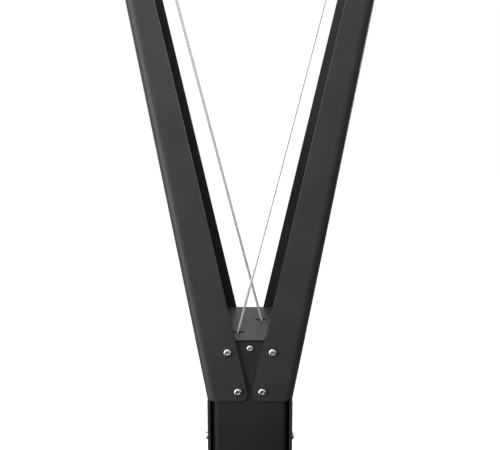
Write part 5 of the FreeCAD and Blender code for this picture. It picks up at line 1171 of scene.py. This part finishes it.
class ERGOMETER_OT_display(bpy.types.Operator):
    """Draws the display's figures from seven segments each, at zero"""

    bl_idname = "ergometer.display"
    bl_label = "Display figures"

    def execute(self, context):
        sizes = context.scene.ergometer_dial
        origin, up = display_plane()
        pieces = []
        for words, x, y, size in DISPLAY_ROWS:
            pieces += self.row(words, x, y, getattr(sizes, size))
        figures = join("display_figures", pieces)
        figures.data.transform(panel_matrix(origin, up))
        finished(figures, "segments", "monitor", "monitor_glass")
        return {"FINISHED"}

    def row(self, words, x, y, height):
        """The segments of a row of noughts and colons, centred on a place."""
        pitch = {letter: height * PITCH_SHARES[letter] for letter in words}
        cursor = x - sum(pitch[letter] for letter in words) / 2
        for letter in words:
            middle = Vector((cursor + pitch[letter] / 2, y, 0))
            cursor += pitch[letter]
            if letter == ":":
                for lift in (-height * COLON_SHARE, height * COLON_SHARE):
                    yield self.bar(0, height, middle + Vector((0, lift, 0)), False)
                continue
            wide = height * DIGIT_WIDTH_SHARE
            for across in (-wide / 2, wide / 2):
                for lift in (-height / 4, height / 4):
                    yield self.bar(height / 2, height, middle + Vector((across, lift, 0)), True)
            for lift in (-height / 2, height / 2):
                yield self.bar(wide, height, middle + Vector((0, lift, 0)), False)

    def bar(self, length, height, middle, upright):
        """One segment: a thin hexagon drawn out to its length, less a gap at each end."""
        half = height * SEGMENT_SHARE
        bpy.ops.mesh.primitive_cylinder_add(vertices=6, radius=half * 2 / math.sqrt(3), depth=2 * INK)
        bar = named("segment")
        bar.data.transform(Matrix.Rotation(QUARTER_TURN, 4, "Z"))
        stretch = max(length / 2 - half * SEGMENT_GAP_SHARE, 0)
        edit(bar)
        for side in (-1, 1):
            pick(bar, "verts", lambda vert: vert.co.x * side > ASIDE)
            bpy.ops.transform.translate(value=(side * stretch, 0, 0))
        object_mode()
        if upright:
            bar.data.transform(Matrix.Rotation(QUARTER_TURN, 4, "Z"))
        bar.data.transform(Matrix.Translation(middle))
        return bar


class ERGOMETER_OT_weld(bpy.types.Operator):
    """Lays the painted weld round the foot of the upright"""

    bl_idname = "ergometer.weld"
    bl_label = "Weld of the upright"

    def execute(self, context):
        low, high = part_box("upright_cap")
        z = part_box("stand_upright")[0].z + FOOT_PLATE + BEAD_RAISE
        pattern = bead("bead_pattern", 12, 8, BEAD_RADIUS, BEAD_SHAPE)
        around = [(low.x, low.y), (high.x, low.y), (high.x, high.y), (low.x, high.y)]
        beads = []
        for start, end in zip(around, around[1:] + around[:1]):
            count = int(math.dist(start, end) / BEAD_PITCH)
            heading = math.atan2(end[1] - start[1], end[0] - start[0])
            for i in range(count):
                share = (i + 0.5) / count
                x, y = (a + (b - a) * share for a, b in zip(start, end))
                place = Matrix.Translation((x, y, z)) @ Matrix.Rotation(heading, 4, "Z")
                beads.append(copy_of(pattern, place))
        bpy.data.objects.remove(pattern)
        weld = join("upright_weld", beads, 80)
        finished(weld, "weld", "root", "stand_paint")
        return {"FINISHED"}


class ERGOMETER_PT_panel(bpy.types.Panel):
    """Lists the steps in the sidebar"""

    bl_label = "Ski ergometer"
    bl_idname = "ERGOMETER_PT_panel"
    bl_space_type = "VIEW_3D"
    bl_region_type = "UI"
    bl_category = "Ski ergometer"

    def draw(self, context):
        for operator in OPERATORS:
            self.layout.operator(operator.bl_idname)
        for name in GROUPS:
            group = getattr(context.scene, name)
            box = self.layout.box()
            for size in group.__annotations__:
                box.prop(group, size)


OPERATORS = (
    ERGOMETER_OT_stage, ERGOMETER_OT_finishes, ERGOMETER_OT_pull_cords, ERGOMETER_OT_straps,
    ERGOMETER_OT_screws, ERGOMETER_OT_dial, ERGOMETER_OT_display, ERGOMETER_OT_weld,
)
GROUPS = {
    "ergometer_colours": ERGOMETER_PG_colours,
    "ergometer_stage": ERGOMETER_PG_stage,
    "ergometer_screws": ERGOMETER_PG_screws,
    "ergometer_soft": ERGOMETER_PG_soft,
    "ergometer_dial": ERGOMETER_PG_dial,
}


def register():
    for name, group in GROUPS.items():
        bpy.utils.register_class(group)
        setattr(bpy.types.Scene, name, bpy.props.PointerProperty(type=group))
    for operator in OPERATORS:
        bpy.utils.register_class(operator)
    bpy.utils.register_class(ERGOMETER_PT_panel)


def unregister():
    bpy.utils.unregister_class(ERGOMETER_PT_panel)
    for operator in reversed(OPERATORS):
        bpy.utils.unregister_class(operator)
    for name, group in GROUPS.items():
        delattr(bpy.types.Scene, name)
        bpy.utils.unregister_class(group)


def main():
    register()
    for operator in OPERATORS:
        group, name = operator.bl_idname.split(".")
        getattr(getattr(bpy.ops, group), name)()


if __name__ == "__main__":
    main()
